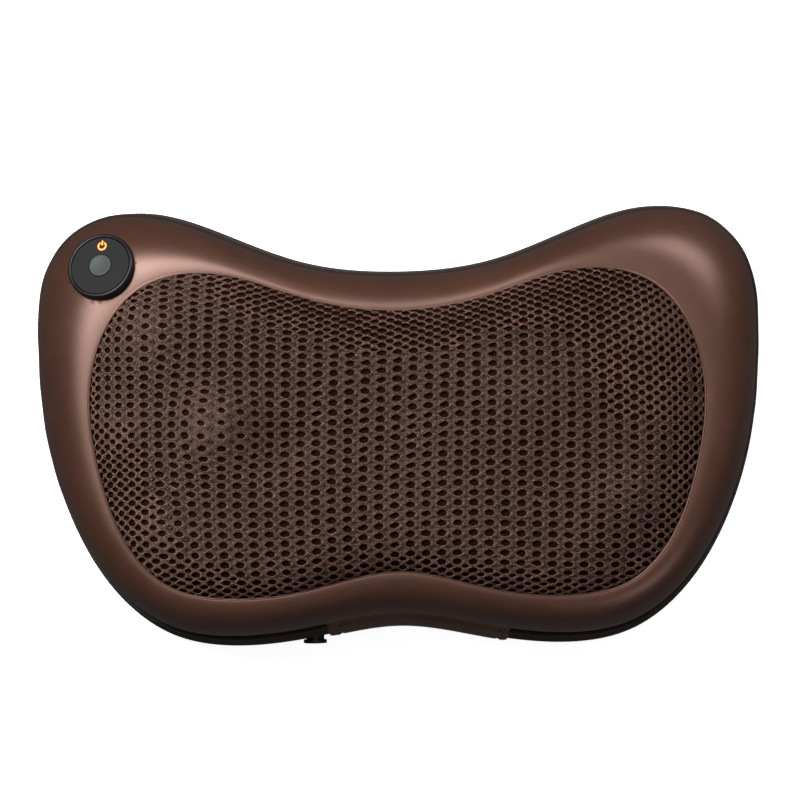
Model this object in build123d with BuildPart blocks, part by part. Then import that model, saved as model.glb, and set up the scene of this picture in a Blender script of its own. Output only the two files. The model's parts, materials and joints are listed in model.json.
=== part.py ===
"""Shiatsu neck massager: a bow-tie pillow with a worm-driven massage mechanism.

Frame: the pillow lies on its back. +X is its right, +Y its top edge, +Z its massaging front.
The origin is the middle of the flat back. Millimetres.
"""

import os
from math import cos, pi, radians, sin, tan

from build123d import *

# ---- driving sizes: the cushion ----
WIDTH = 310.0
HEIGHT = 188.0
THICKNESS = 96.0
BACK_PAD = 5.0  # padded back panel
SEAM_Z = 34.0  # piping line between the leather and the fabric side
RIM_Z = 78.0  # top of the leather where it meets the mesh
BULGE_Z = 19.0  # the fabric side stands out furthest here
MESH = 2.5
SOFT_GAP = 0.3  # between soft layers
RIM_GAP = 0.6  # between the leather's rim and the mesh
PIPING_R = 1.4
SEAM_INSET = 4.2  # the leather's seam lies this far inside the fabric side
SEAM_RISE = 1.2  # and this much nearer the top edge
SEAM_GAP = 0.2  # between the piping and what it joins
STATIONS = 24  # points that carry each drawn-in outline
SEAM_SHIFT = 5  # stations between a loft's seam and a prism's

# ---- driving sizes: housing ----
HOUSING_INSET = 18.0
WALL = 2.5
SPLIT_Z = 40.0
HOUSING_TOP = 54.0
HEAD_OPENING_R = 41.0
BOSS_R = 4.5

# ---- driving sizes: mechanism ----
HEAD_X = 78.0
SHAFT_R = 4.0
BUSH_WALL = 2.0
RUN = 0.03  # running clearance on a radius
PRESS = 0.01  # clearance where one piece is pressed on another
MODULE = 1.5
WHEEL_TEETH = 30
WHEEL_WIDTH = 6.0
WORM_PITCH_R = 5.5
WORM_TURNS = 4  # even, so that a crest faces the wheel at mid length
FLANK = tan(radians(20))
THREAD = 1.5  # thread thickness at the pitch line
TOOTH_GAP = 2.9  # wheel gap at the pitch circle
TIP_GAP = 0.35
MOTOR_R = 14.0
MOTOR_LENGTH = 44.0
MOTOR_SHAFT_R = 2.5
RING_R = 21.0  # massage balls stand on this circle
TALL_BALL_R = 15.0
SHORT_BALL_R = 12.5
POST_R = 3.0
ROTOR_R = 38.0
ROTOR_THICK = 3.0
SCREW_R = 1.25
SCREW_HEAD_R = 2.7
SCREW_HEAD = 1.8

# ---- driving sizes: controls, socket, strap, zip ----
CONTROL_R = 14.0
CONTROL_PROUD = 2.4
BUTTON_R = 4.7
BUTTON_TRAVEL = 0.6
CONTROL_U = 0.835  # place along the outline, clockwise from the top dip
CONTROL_S = 0.6  # place across the leather, from seam to rim
JACK_X = -37.3
JACK_BORE_R = 2.8
JACK_PIN_R = 1.0
JACK_DEPTH = 9.5
JACK_BODY_R = 3.9
PATCH_X = (-31.5, 46.0)
PATCH_THICK = 1.2
STRAP_Y = 14.0
STRAP_WIDTH = 26.0
STRAP_HALF = 112.0
ZIP_Y = -56.0
ZIP_HALF = 70.0

# Half outlines from the top dip round the right side to the bottom dip,
# as shares of the half width and half height.
SIDE_SHAPE = [
    (0, 0.715), (0.258, 0.762), (0.497, 0.910), (0.697, 1.0), (0.871, 0.935), (0.968, 0.753), (1.0, 0.376),
    (0.976, -0.065), (0.906, -0.435), (0.787, -0.753), (0.632, -0.946), (0.439, -1.0), (0.232, -0.962), (0, -0.906),
]
PANEL_SHAPE = [
    (0, 0.484), (0.258, 0.553), (0.387, 0.624), (0.542, 0.656), (0.671, 0.591), (0.761, 0.419), (0.805, 0.075),
    (0.775, -0.247), (0.713, -0.511), (0.600, -0.704), (0.452, -0.760), (0.232, -0.726), (0, -0.652),
]
PANEL_CENTRE_Y = -0.05  # of the half height: the dome closes in on this point
# (share of the panel outline, share of the rise from rim to crown)
DOME = [(1.0, 0.0), (0.93, 0.46), (0.82, 0.78), (0.60, 0.95), (0.30, 1.0)]
DOME_FOOT = 2.0  # the mesh starts this far below the leather's rim
BORDER_POWER = 2.2  # roundness of the leather border
BORDER_SHARES = [0.0, 0.06, 0.22, 0.5, 1.0]
# (height, inset) of the fabric side, from the back to the seam
SIDE_PROFILE = [(0.0, 15.0), (5.0, 6.5), (BULGE_Z, 0.0), (SEAM_Z - PIPING_R - SEAM_GAP, 3.2)]

# ---- driving sizes: seats, screws and small parts ----
PATCH_Z = (8.0, 30.0)
STRAP_RECESS = 2.0
ZIP_RECESS = 4.0
ZIP_TAPE = 14.0
CUP_DEPTH = 10.0
LEAD_HOLE = (-111.0, 55.5)
LEAD_HOLE_R = 9.5
HOUSING_BOSSES = [(0, 38), (0, -58), (122, 40), (-122, 40), (106, -50), (-106, -50)]
SCREW_SEAT_Z = 32.0
HOUSING_SCREW = 15.0
SCREW_SLOT = 0.7
BRIDGE_POSTS = [(-27, 27), (27, 27), (0, -44)]
POST_BOSS_R = 4.0
LUG_R = 6.5
BRIDGE_BITE = 9.0
CRADLE_HALF_X = 10.0
CRADLE_HALF_Y = 24.0
CLAMP_HALF_X = 8.0
CLAMP_WALL = 2.2
CLAMP_SCREW_Y = 20.5
BLOCK_HALF_Y = 10.0
CAP_SCREW_Y = 7.2
CAP_SCREW_BITE = 8.0
CAP_HEIGHT = 7.0
WORM_BUSH_R = 4.5
CAN_WALL = 1.2
END_CAP = 3.0
MOTOR_NOSE_R = 5.0
MAGNET_HALF = 14.0
ARMATURE_R = 9.6
TERMINAL_Y = 5.0
SHAFT_OVERRUN = 5.0
HUB_R = 8.0
BALL_NECK_R = 7.0
POST_HEIGHT = 10.0
JACK_BOSS = 7.0
JACK_BOSS_DEPTH = 4.5
JACK_STEM_R = 1.4
JACK_LENGTH = 27.0

CUP_BORE_R = 12.3
CUP_FLOOR = 1.5
CUP_POST_RING = 8.5
CUP_LEAD_X = 4.0
PCB_Z = -6.5
PCB_THICK = 1.2
SWITCH_SIDE = 6.2
SWITCH_HEIGHT = 1.2
SWITCH_STEM_R = 1.6
SWITCH_PLAY = 0.08
LED_SIZE = (3.0, 1.6, 1.1)
FACE_Z = 0.6
FACE_THICK = 1.3
BUTTON_TOP = 2.5
BUTTON_FLANGE_R = 6.0
BUTTON_FOOT = -2.2
SYMBOL_Y = 8.6
SYMBOL_R = 1.6
SYMBOL_LINE = 0.55
LEAD_R = 1.2
JACK_FLANGE_R = 5.0
JACK_FLANGE = 1.2
STRAP_Z = (0.95, 1.85)
STRAP_PATCH_Z = (0.15, 0.85)
STRAP_PATCH = 14.0
ZIP_COIL_Z = 2.0
ZIP_COIL_HALF = 1.1
ZIP_TAPE_Z = (3.1, 3.8)
JACK_TERMINAL = 2.9
MOTOR_TERMINAL = 4.9
PULL_Z = 1.0
PULL_PIN_R = 0.4
PULL_EYE_R = 0.8

# ---- sizes that follow ----
FOAM_HOLE_R = HEAD_OPENING_R + 1.0
LEAD = pi * MODULE
WHEEL_R = MODULE * WHEEL_TEETH / 2
WORM_Y = -(WHEEL_R + WORM_PITCH_R)
WORM_LENGTH = WORM_TURNS * LEAD
WORM_CREST_R = WORM_PITCH_R + MODULE
WHEEL_TIP_R = WHEEL_R + MODULE
WHEEL_ROOT_R = -WORM_Y - WORM_CREST_R - TIP_GAP
WORM_ROOT_R = -WORM_Y - WHEEL_TIP_R - TIP_GAP
FLOOR_Z = BACK_PAD + SOFT_GAP
INSIDE_Z = FLOOR_Z + WALL
WORM_Z = INSIDE_Z + 17.0
LOWER_BOSS_TOP = INSIDE_Z + 8.0
BRIDGE_Z = WORM_Z + WORM_CREST_R + 2.0
BRIDGE_THICK = 3.0
BRIDGE_BOSS_TOP = BRIDGE_Z + 8.0
BUSH_R = SHAFT_R + BUSH_WALL
ROTOR_Z = HOUSING_TOP - 1.0
BALL_SEAT_Z = ROTOR_Z + ROTOR_THICK + 1.0
BLOCK_X = HEAD_X + WORM_LENGTH / 2 + 13.0
BLOCK_WIDTH = 8.0
SHAFT_TOP = ROTOR_Z + ROTOR_THICK - 1.6
SIDES = {"left": -1, "right": 1}

os.makedirs("parts", exist_ok=True)


def save(shape, name):
    """Labels a finished piece and writes it as its own STEP."""
    shape.label = name
    export_step(shape, f"parts/{name}.step")


# ---- outlines ----
def closed_outline(half_shape):
    """The whole closed outline that a half shape and its mirror image make."""
    half = [(x * WIDTH / 2, y * HEIGHT / 2) for x, y in half_shape]
    mirrored = [(-x, y) for x, y in reversed(half[1:-1])]
    with BuildLine() as line:
        Spline(*half, *mirrored, periodic=True)
    return line.edges()[0]


SIDE_CURVE = closed_outline(SIDE_SHAPE)
PANEL_CURVE = closed_outline(PANEL_SHAPE)


def outline_point(curve, share, inset=0.0):
    """A point of a clockwise outline, drawn in by inset along the normal."""
    at = curve.position_at(share)
    along = curve.tangent_at(share)
    return Vector(at.X + along.Y * inset, at.Y - along.X * inset)


def drawn_in(curve, inset, rise=0.0):
    """The outline's stations, drawn in by inset and moved up by rise."""
    points = [outline_point(curve, i / STATIONS, inset) for i in range(STATIONS)]
    return [(p.X, p.Y + rise) for p in points]


def loft_through(sections):
    """A solid lofted up through (points, height) sections."""
    with BuildPart() as body:
        for points, height in sections:
            with BuildSketch(Plane.XY.offset(height)):
                with BuildLine():
                    Spline(*points, periodic=True)
                make_face()
        loft(ruled=True)
    return body.part


def prism(points, low, high):
    """A straight-sided solid on one outline, from low to high, with its seam away from every loft's seam."""
    points = points[SEAM_SHIFT:] + points[:SEAM_SHIFT]
    with BuildPart() as body:
        with BuildSketch(Plane.XY.offset(low)):
            with BuildLine():
                Spline(*points, periodic=True)
            make_face()
        extrude(amount=high - low)
    return body.part


# ---- the soft shapes ----
def side_body(inset):
    """The fabric side and back, drawn in by inset."""
    return loft_through([(drawn_in(SIDE_CURVE, draw + inset), height) for height, draw in SIDE_PROFILE])


def border_height(share):
    """Height of the leather at a share of the way from seam to rim."""
    rise = (1 - (1 - share) ** BORDER_POWER) ** (1 / BORDER_POWER)
    foot = SEAM_Z + PIPING_R + SEAM_GAP
    return foot + (RIM_Z - foot) * rise


def border_point(along, share):
    """A point of the leather's surface: along the outline, and across it from seam to rim."""
    seam = outline_point(SIDE_CURVE, along, SEAM_INSET) + Vector(0, SEAM_RISE)
    rim = outline_point(PANEL_CURVE, along)
    flat = seam + (rim - seam) * share
    return Vector(flat.X, flat.Y, border_height(share))


def border_body():
    """The leather border's outer form, closed over the middle."""
    sections = []
    for share in BORDER_SHARES:
        ring = [border_point(i / STATIONS, share) for i in range(STATIONS)]
        sections.append(([(p.X, p.Y) for p in ring], ring[0].Z))
    return loft_through(sections)


def dome_body(drop, base):
    """The mesh panel's dome, drawn in by drop, standing on the height base."""
    foot = RIM_Z - DOME_FOOT
    centre = PANEL_CENTRE_Y * HEIGHT / 2
    ring = drawn_in(PANEL_CURVE, drop)
    sections = [(ring, base)]
    for share, rise in DOME:
        points = [(x * share, centre + (y - centre) * share) for x, y in ring]
        sections.append((points, foot + (THICKNESS - foot) * rise - drop))
    return loft_through(sections)


def circle_tool(plane, radius, low, high):
    """A round solid on a plane's axis, from low to high along it."""
    with BuildPart() as tool:
        with BuildSketch(plane.offset(low)):
            Circle(radius)
        extrude(amount=high - low)
    return tool.part


def block(x, y, z):
    """A box between two values on each axis."""
    with BuildPart() as tool:
        with BuildSketch(Plane.XY.offset(z[0])):
            with Locations(((x[0] + x[1]) / 2, (y[0] + y[1]) / 2)):
                Rectangle(x[1] - x[0], y[1] - y[0])
        extrude(amount=z[1] - z[0])
    return tool.part


def control_plane():
    """The control's plane: on the leather, square to it, +Y towards the pillow's top edge."""
    step = 0.01
    at = border_point(CONTROL_U, CONTROL_S)
    across = border_point(CONTROL_U, CONTROL_S + step) - at
    along = border_point(CONTROL_U + step, CONTROL_S) - at
    normal = along.cross(across).normalized()
    if normal.Z < 0:
        normal = normal * -1
    up = Vector(0, 1, 0)
    return Plane(origin=at, x_dir=up.cross(normal), z_dir=normal)


CONTROL = control_plane()
JACK_EDGE = min(
    (outline_point(SIDE_CURVE, 0.5 + i / 800) for i in range(200)), key=lambda p: abs(p.X - JACK_X)
).Y
JACK_FACE_Y = JACK_EDGE - 1.3
JACK = Plane(origin=(JACK_X, JACK_FACE_Y, BULGE_Z), x_dir=(1, 0, 0), z_dir=(0, 1, 0))  # +Z runs into the pillow
JACK_SEAT_Y = JACK_EDGE + HOUSING_INSET + 6.0  # inner face of the socket's boss in the rear housing
WORM_LINE = Plane(origin=(0, WORM_Y, WORM_Z), x_dir=(0, 1, 0), z_dir=(1, 0, 0))  # the motor shaft's axis


def upright(x, y):
    """A plane at height zero whose axis stands up through (x, y)."""
    return Plane(origin=(x, y, 0))


MESH_BASE_Z = RIM_Z - DOME_FOOT - 2.0
FOAM_TOP = MESH_BASE_Z - SOFT_GAP
FOAM_BASE = HOUSING_TOP + SOFT_GAP
housing_envelope = prism(drawn_in(SIDE_CURVE, HOUSING_INSET - SOFT_GAP), BACK_PAD, FOAM_BASE)

# ---- mesh panel ----
with BuildPart() as mesh_panel:
    add(dome_body(0.0, MESH_BASE_Z))
    add(dome_body(MESH, MESH_BASE_Z - 1), mode=Mode.SUBTRACT)
save(mesh_panel.part, "mesh_panel")

# ---- leather border, backed by its own foam ----
with BuildPart() as leather_border:
    add(border_body())
    add(housing_envelope, mode=Mode.SUBTRACT)
    add(prism(drawn_in(PANEL_CURVE, -RIM_GAP), SEAM_Z, RIM_Z + 1), mode=Mode.SUBTRACT)
    add(circle_tool(CONTROL, CONTROL_R + SOFT_GAP, -CUP_DEPTH - SOFT_GAP, 12), mode=Mode.SUBTRACT)
    add(circle_tool(CONTROL, LEAD_HOLE_R, -40, 0), mode=Mode.SUBTRACT)
save(leather_border.part, "leather_border")

# ---- piping ----
with BuildPart() as piping:
    with BuildLine(Plane.XY.offset(SEAM_Z)):
        piping_path = Spline(*drawn_in(SIDE_CURVE, SEAM_INSET - 0.6, SEAM_RISE / 2), periodic=True)
    with BuildSketch(Plane(origin=piping_path @ 0, z_dir=piping_path % 0)):
        Circle(PIPING_R)
    sweep()
save(piping.part, "piping")

# ---- rear cover: padded back and fabric side ----
strap_y = (STRAP_Y - STRAP_WIDTH / 2 - 1, STRAP_Y + STRAP_WIDTH / 2 + 1)
zip_y = (ZIP_Y - ZIP_TAPE / 2 - 1, ZIP_Y + ZIP_TAPE / 2 + 1)
with BuildPart() as rear_cover:
    add(side_body(0.0))
    add(prism(drawn_in(SIDE_CURVE, HOUSING_INSET - SOFT_GAP), BACK_PAD, SEAM_Z), mode=Mode.SUBTRACT)
    add(circle_tool(JACK, JACK_BODY_R + SOFT_GAP, -3, 30), mode=Mode.SUBTRACT)
    add(block((-STRAP_HALF - 10, STRAP_HALF + 10), strap_y, (-1, STRAP_RECESS)), mode=Mode.SUBTRACT)
    add(block((-ZIP_HALF - 12, ZIP_HALF + 12), zip_y, (-1, ZIP_RECESS)), mode=Mode.SUBTRACT)
save(rear_cover.part, "rear_cover")

# ---- leather patch over the bottom side ----
with BuildPart() as bottom_patch:
    add(side_body(-PATCH_THICK - 0.1))
    add(side_body(-0.1), mode=Mode.SUBTRACT)
    add(block(PATCH_X, (-HEIGHT, 0), PATCH_Z), mode=Mode.INTERSECT)
save(bottom_patch.part, "bottom_patch")

# ---- foam pad under the mesh, open round each head ----
with BuildPart() as foam_pad:
    add(prism(drawn_in(PANEL_CURVE, SOFT_GAP), FOAM_BASE, FOAM_TOP))
    for side in SIDES.values():
        add(circle_tool(upright(side * HEAD_X, 0), FOAM_HOLE_R, 0, THICKNESS), mode=Mode.SUBTRACT)
save(foam_pad.part, "foam_pad")

# ---- housings ----
outline = drawn_in(SIDE_CURVE, HOUSING_INSET)
inside = drawn_in(SIDE_CURVE, HOUSING_INSET + WALL)
bearing_x = [side * BLOCK_X for side in SIDES.values()]


def bridge_posts(side):
    """Where a bridge's three posts stand."""
    return [(side * HEAD_X + x, y) for x, y in BRIDGE_POSTS]


with BuildPart() as rear_housing:
    add(prism(outline, FLOOR_Z, SPLIT_Z))
    add(prism(inside, INSIDE_Z, SPLIT_Z + 1), mode=Mode.SUBTRACT)
    for x, y in HOUSING_BOSSES:
        add(circle_tool(upright(x, y), BOSS_R, INSIDE_Z, SPLIT_Z))
    add(block((-CRADLE_HALF_X, CRADLE_HALF_X), (WORM_Y - CRADLE_HALF_Y, WORM_Y + CRADLE_HALF_Y), (INSIDE_Z, WORM_Z)))
    for x in bearing_x:
        half = BLOCK_WIDTH / 2
        add(block((x - half, x + half), (WORM_Y - BLOCK_HALF_Y, WORM_Y + BLOCK_HALF_Y), (INSIDE_Z, WORM_Z)))
    for side in SIDES.values():
        add(circle_tool(upright(side * HEAD_X, 0), BUSH_R + WALL, INSIDE_Z, LOWER_BOSS_TOP))
        for x, y in bridge_posts(side):
            add(circle_tool(upright(x, y), POST_BOSS_R, INSIDE_Z, BRIDGE_Z))
    jack_x = (JACK_X - JACK_BOSS, JACK_X + JACK_BOSS)
    add(block(jack_x, (JACK_SEAT_Y - JACK_BOSS_DEPTH, JACK_SEAT_Y), (INSIDE_Z, BULGE_Z + JACK_BOSS)))
    add(circle_tool(WORM_LINE, MOTOR_R + PRESS, -CRADLE_HALF_X, CRADLE_HALF_X), mode=Mode.SUBTRACT)
    for x in bearing_x:
        add(circle_tool(WORM_LINE, WORM_BUSH_R + PRESS, x - BLOCK_WIDTH, x + BLOCK_WIDTH), mode=Mode.SUBTRACT)
        for y in (-CAP_SCREW_Y, CAP_SCREW_Y):
            pilot = upright(x, WORM_Y + y)
            add(circle_tool(pilot, SCREW_R + PRESS, WORM_Z - CAP_SCREW_BITE, WORM_Z), mode=Mode.SUBTRACT)
    for y in (-CLAMP_SCREW_Y, CLAMP_SCREW_Y):
        pilot = upright(0, WORM_Y + y)
        add(circle_tool(pilot, SCREW_R + PRESS, WORM_Z - CAP_SCREW_BITE, WORM_Z), mode=Mode.SUBTRACT)
    for side in SIDES.values():
        add(circle_tool(upright(side * HEAD_X, 0), BUSH_R + PRESS, INSIDE_Z + 1, LOWER_BOSS_TOP), mode=Mode.SUBTRACT)
        for x, y in bridge_posts(side):
            add(circle_tool(upright(x, y), SCREW_R + PRESS, BRIDGE_Z - BRIDGE_BITE, BRIDGE_Z), mode=Mode.SUBTRACT)
    for x, y in HOUSING_BOSSES:
        add(circle_tool(upright(x, y), SCREW_HEAD_R + 0.3, 0, SCREW_SEAT_Z), mode=Mode.SUBTRACT)
        add(circle_tool(upright(x, y), SCREW_R + 0.3, 0, SPLIT_Z), mode=Mode.SUBTRACT)
    add(circle_tool(JACK, JACK_BODY_R + PRESS, 0, JACK_LENGTH), mode=Mode.SUBTRACT)
save(rear_housing.part, "rear_housing")

with BuildPart() as front_housing:
    add(prism(outline, SPLIT_Z, HOUSING_TOP))
    add(prism(inside, SPLIT_Z - 1, HOUSING_TOP - WALL), mode=Mode.SUBTRACT)
    for x, y in HOUSING_BOSSES:
        add(circle_tool(upright(x, y), BOSS_R, SPLIT_Z, HOUSING_TOP - WALL))
        add(circle_tool(upright(x, y), SCREW_R + PRESS, SPLIT_Z, SCREW_SEAT_Z + HOUSING_SCREW + 1), mode=Mode.SUBTRACT)
    for side in SIDES.values():
        add(circle_tool(upright(side * HEAD_X, 0), HEAD_OPENING_R + WALL, HOUSING_TOP - 8, HOUSING_TOP))
        add(circle_tool(upright(side * HEAD_X, 0), HEAD_OPENING_R, SPLIT_Z, THICKNESS), mode=Mode.SUBTRACT)
    add(circle_tool(upright(*LEAD_HOLE), LEAD_HOLE_R, SPLIT_Z, THICKNESS), mode=Mode.SUBTRACT)
save(front_housing.part, "front_housing")


def screws(seats, length, down=True):
    """Pan-head screws: heads resting on the seats, shanks running on down, or up."""
    away = 1 if down else -1
    with BuildPart() as group:
        for seat in seats:
            with BuildSketch(Plane(origin=seat, z_dir=(0, 0, -away))):
                Circle(SCREW_R)
            extrude(amount=length)
            with BuildSketch(Plane(origin=seat, z_dir=(0, 0, away))):
                Circle(SCREW_HEAD_R)
            extrude(amount=SCREW_HEAD)
            with BuildSketch(Plane(origin=seat, z_dir=(0, 0, away)).offset(SCREW_HEAD)):
                Rectangle(SCREW_SLOT, SCREW_HEAD_R * 1.2)
                Rectangle(SCREW_HEAD_R * 1.2, SCREW_SLOT)
            extrude(amount=-SCREW_HEAD / 2, mode=Mode.SUBTRACT)
    return group.part


save(screws([(x, y, SCREW_SEAT_Z) for x, y in HOUSING_BOSSES], HOUSING_SCREW, down=False), "housing_screws")

# ---- motor ----
MOTOR_HALF = MOTOR_LENGTH / 2
with BuildPart() as motor_can:
    add(circle_tool(WORM_LINE, MOTOR_R, -MOTOR_HALF + END_CAP, MOTOR_HALF))
    add(circle_tool(WORM_LINE, MOTOR_R - CAN_WALL, -MOTOR_HALF, MOTOR_HALF - CAN_WALL), mode=Mode.SUBTRACT)
    add(circle_tool(WORM_LINE, MOTOR_NOSE_R, MOTOR_HALF - CAN_WALL, MOTOR_HALF + 2))
    add(circle_tool(WORM_LINE, MOTOR_SHAFT_R + RUN, 0, MOTOR_HALF + 3), mode=Mode.SUBTRACT)
save(motor_can.part, "motor_can")

with BuildPart() as motor_end_cap:
    add(circle_tool(WORM_LINE, MOTOR_R, -MOTOR_HALF, -MOTOR_HALF + END_CAP))
    add(circle_tool(WORM_LINE, MOTOR_NOSE_R, -MOTOR_HALF - 2, -MOTOR_HALF))
    for y in (-TERMINAL_Y, TERMINAL_Y):
        tab_y = (WORM_Y + y - 1.2, WORM_Y + y + 1.2)
        add(block((-MOTOR_HALF - 4, -MOTOR_HALF), tab_y, (WORM_Z + 7.6, WORM_Z + 8.4)))
    add(circle_tool(WORM_LINE, MOTOR_SHAFT_R + RUN, -MOTOR_LENGTH, 0), mode=Mode.SUBTRACT)
save(motor_end_cap.part, "motor_end_cap")

with BuildPart() as motor_magnets:
    add(circle_tool(WORM_LINE, MOTOR_R - CAN_WALL - PRESS, -MAGNET_HALF, MAGNET_HALF))
    add(circle_tool(WORM_LINE, ARMATURE_R + 0.8, -MOTOR_HALF, MOTOR_HALF), mode=Mode.SUBTRACT)
    add(block((-MOTOR_HALF, MOTOR_HALF), (WORM_Y - 5, WORM_Y + 5), (0, SPLIT_Z)), mode=Mode.SUBTRACT)
save(motor_magnets.part, "motor_magnets")

with BuildPart() as motor_armature:
    add(circle_tool(WORM_LINE, ARMATURE_R, -MAGNET_HALF, MAGNET_HALF))
    with BuildSketch(WORM_LINE.offset(-MAGNET_HALF)):
        with PolarLocations(ARMATURE_R, 5):
            Rectangle(5, 1.6)
    extrude(amount=2 * MAGNET_HALF, mode=Mode.SUBTRACT)
    add(circle_tool(WORM_LINE, MOTOR_SHAFT_R + PRESS, -MOTOR_HALF, MOTOR_HALF), mode=Mode.SUBTRACT)
save(motor_armature.part, "motor_armature")

with BuildPart() as motor_shaft:
    add(circle_tool(WORM_LINE, MOTOR_SHAFT_R, -BLOCK_X - SHAFT_OVERRUN, BLOCK_X + SHAFT_OVERRUN))
    chamfer(motor_shaft.edges(), length=0.4)
save(motor_shaft.part, "motor_shaft")

with BuildPart() as motor_clamp:
    add(circle_tool(WORM_LINE, MOTOR_R + CLAMP_WALL, -CLAMP_HALF_X, CLAMP_HALF_X))
    clamp_y = (WORM_Y - CRADLE_HALF_Y, WORM_Y + CRADLE_HALF_Y)
    add(block((-CLAMP_HALF_X, CLAMP_HALF_X), clamp_y, (WORM_Z, WORM_Z + CLAMP_WALL)))
    add(block((-HEAD_X, HEAD_X), (-HEIGHT, HEIGHT), (0, WORM_Z)), mode=Mode.SUBTRACT)
    add(circle_tool(WORM_LINE, MOTOR_R + PRESS, -HEAD_X, HEAD_X), mode=Mode.SUBTRACT)
    for y in (-CLAMP_SCREW_Y, CLAMP_SCREW_Y):
        add(circle_tool(upright(0, WORM_Y + y), SCREW_R + 0.2, 0, THICKNESS), mode=Mode.SUBTRACT)
save(motor_clamp.part, "motor_clamp")
clamp_seats = [(0, WORM_Y + y, WORM_Z + CLAMP_WALL) for y in (-CLAMP_SCREW_Y, CLAMP_SCREW_Y)]
save(screws(clamp_seats, 9), "motor_clamp_screws")

# ---- worm bearings ----
with BuildPart() as worm_bushes:
    for x in bearing_x:
        add(circle_tool(WORM_LINE, WORM_BUSH_R, x - BLOCK_WIDTH / 2, x + BLOCK_WIDTH / 2))
    add(circle_tool(WORM_LINE, MOTOR_SHAFT_R + RUN, -WIDTH, WIDTH), mode=Mode.SUBTRACT)
save(worm_bushes.part, "worm_bushes")

with BuildPart() as bearing_caps:
    for x in bearing_x:
        half = BLOCK_WIDTH / 2
        add(block((x - half, x + half), (WORM_Y - BLOCK_HALF_Y, WORM_Y + BLOCK_HALF_Y), (WORM_Z, WORM_Z + CAP_HEIGHT)))
    add(circle_tool(WORM_LINE, WORM_BUSH_R + PRESS, -WIDTH, WIDTH), mode=Mode.SUBTRACT)
    for x in bearing_x:
        for y in (-CAP_SCREW_Y, CAP_SCREW_Y):
            add(circle_tool(upright(x, WORM_Y + y), SCREW_R + 0.2, 0, THICKNESS), mode=Mode.SUBTRACT)
save(bearing_caps.part, "bearing_caps")
cap_seats = [(x, WORM_Y + y, WORM_Z + CAP_HEIGHT) for x in bearing_x for y in (-CAP_SCREW_Y, CAP_SCREW_Y)]
save(screws(cap_seats, CAP_HEIGHT + CAP_SCREW_BITE - 1), "bearing_cap_screws")

# ---- worms: the right one right-handed, the left one its mirror image ----
with BuildPart() as worm:
    with BuildLine():
        worm_helix = Helix(LEAD, WORM_LENGTH, WORM_PITCH_R, center=(0, 0, -WORM_LENGTH / 2))
    with BuildSketch(Plane(origin=worm_helix @ 0, x_dir=(1, 0, 0), z_dir=worm_helix % 0)):
        with BuildLine():
            crest, root = WORM_CREST_R - WORM_PITCH_R, WORM_ROOT_R - WORM_PITCH_R - 0.3
            top, foot = THREAD / 2 - crest * FLANK, THREAD / 2 - root * FLANK
            Polyline((crest, top), (crest, -top), (root, -foot), (root, foot), close=True)
        make_face()
    sweep(path=worm_helix, is_frenet=True)
    add(circle_tool(Plane.XY, WORM_ROOT_R, -WORM_LENGTH / 2 - 2.5, WORM_LENGTH / 2 + 2.5))
    add(circle_tool(Plane.XY, MOTOR_SHAFT_R + PRESS, -WORM_LENGTH, WORM_LENGTH), mode=Mode.SUBTRACT)
worm_plane = Plane(origin=(HEAD_X, WORM_Y, WORM_Z), x_dir=(0, 1, 0), z_dir=(1, 0, 0))
worm_right = worm_plane.location * worm.part
save(worm_right, "worm_right")
save(mirror(worm_right, about=Plane.YZ), "worm_left")

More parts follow.
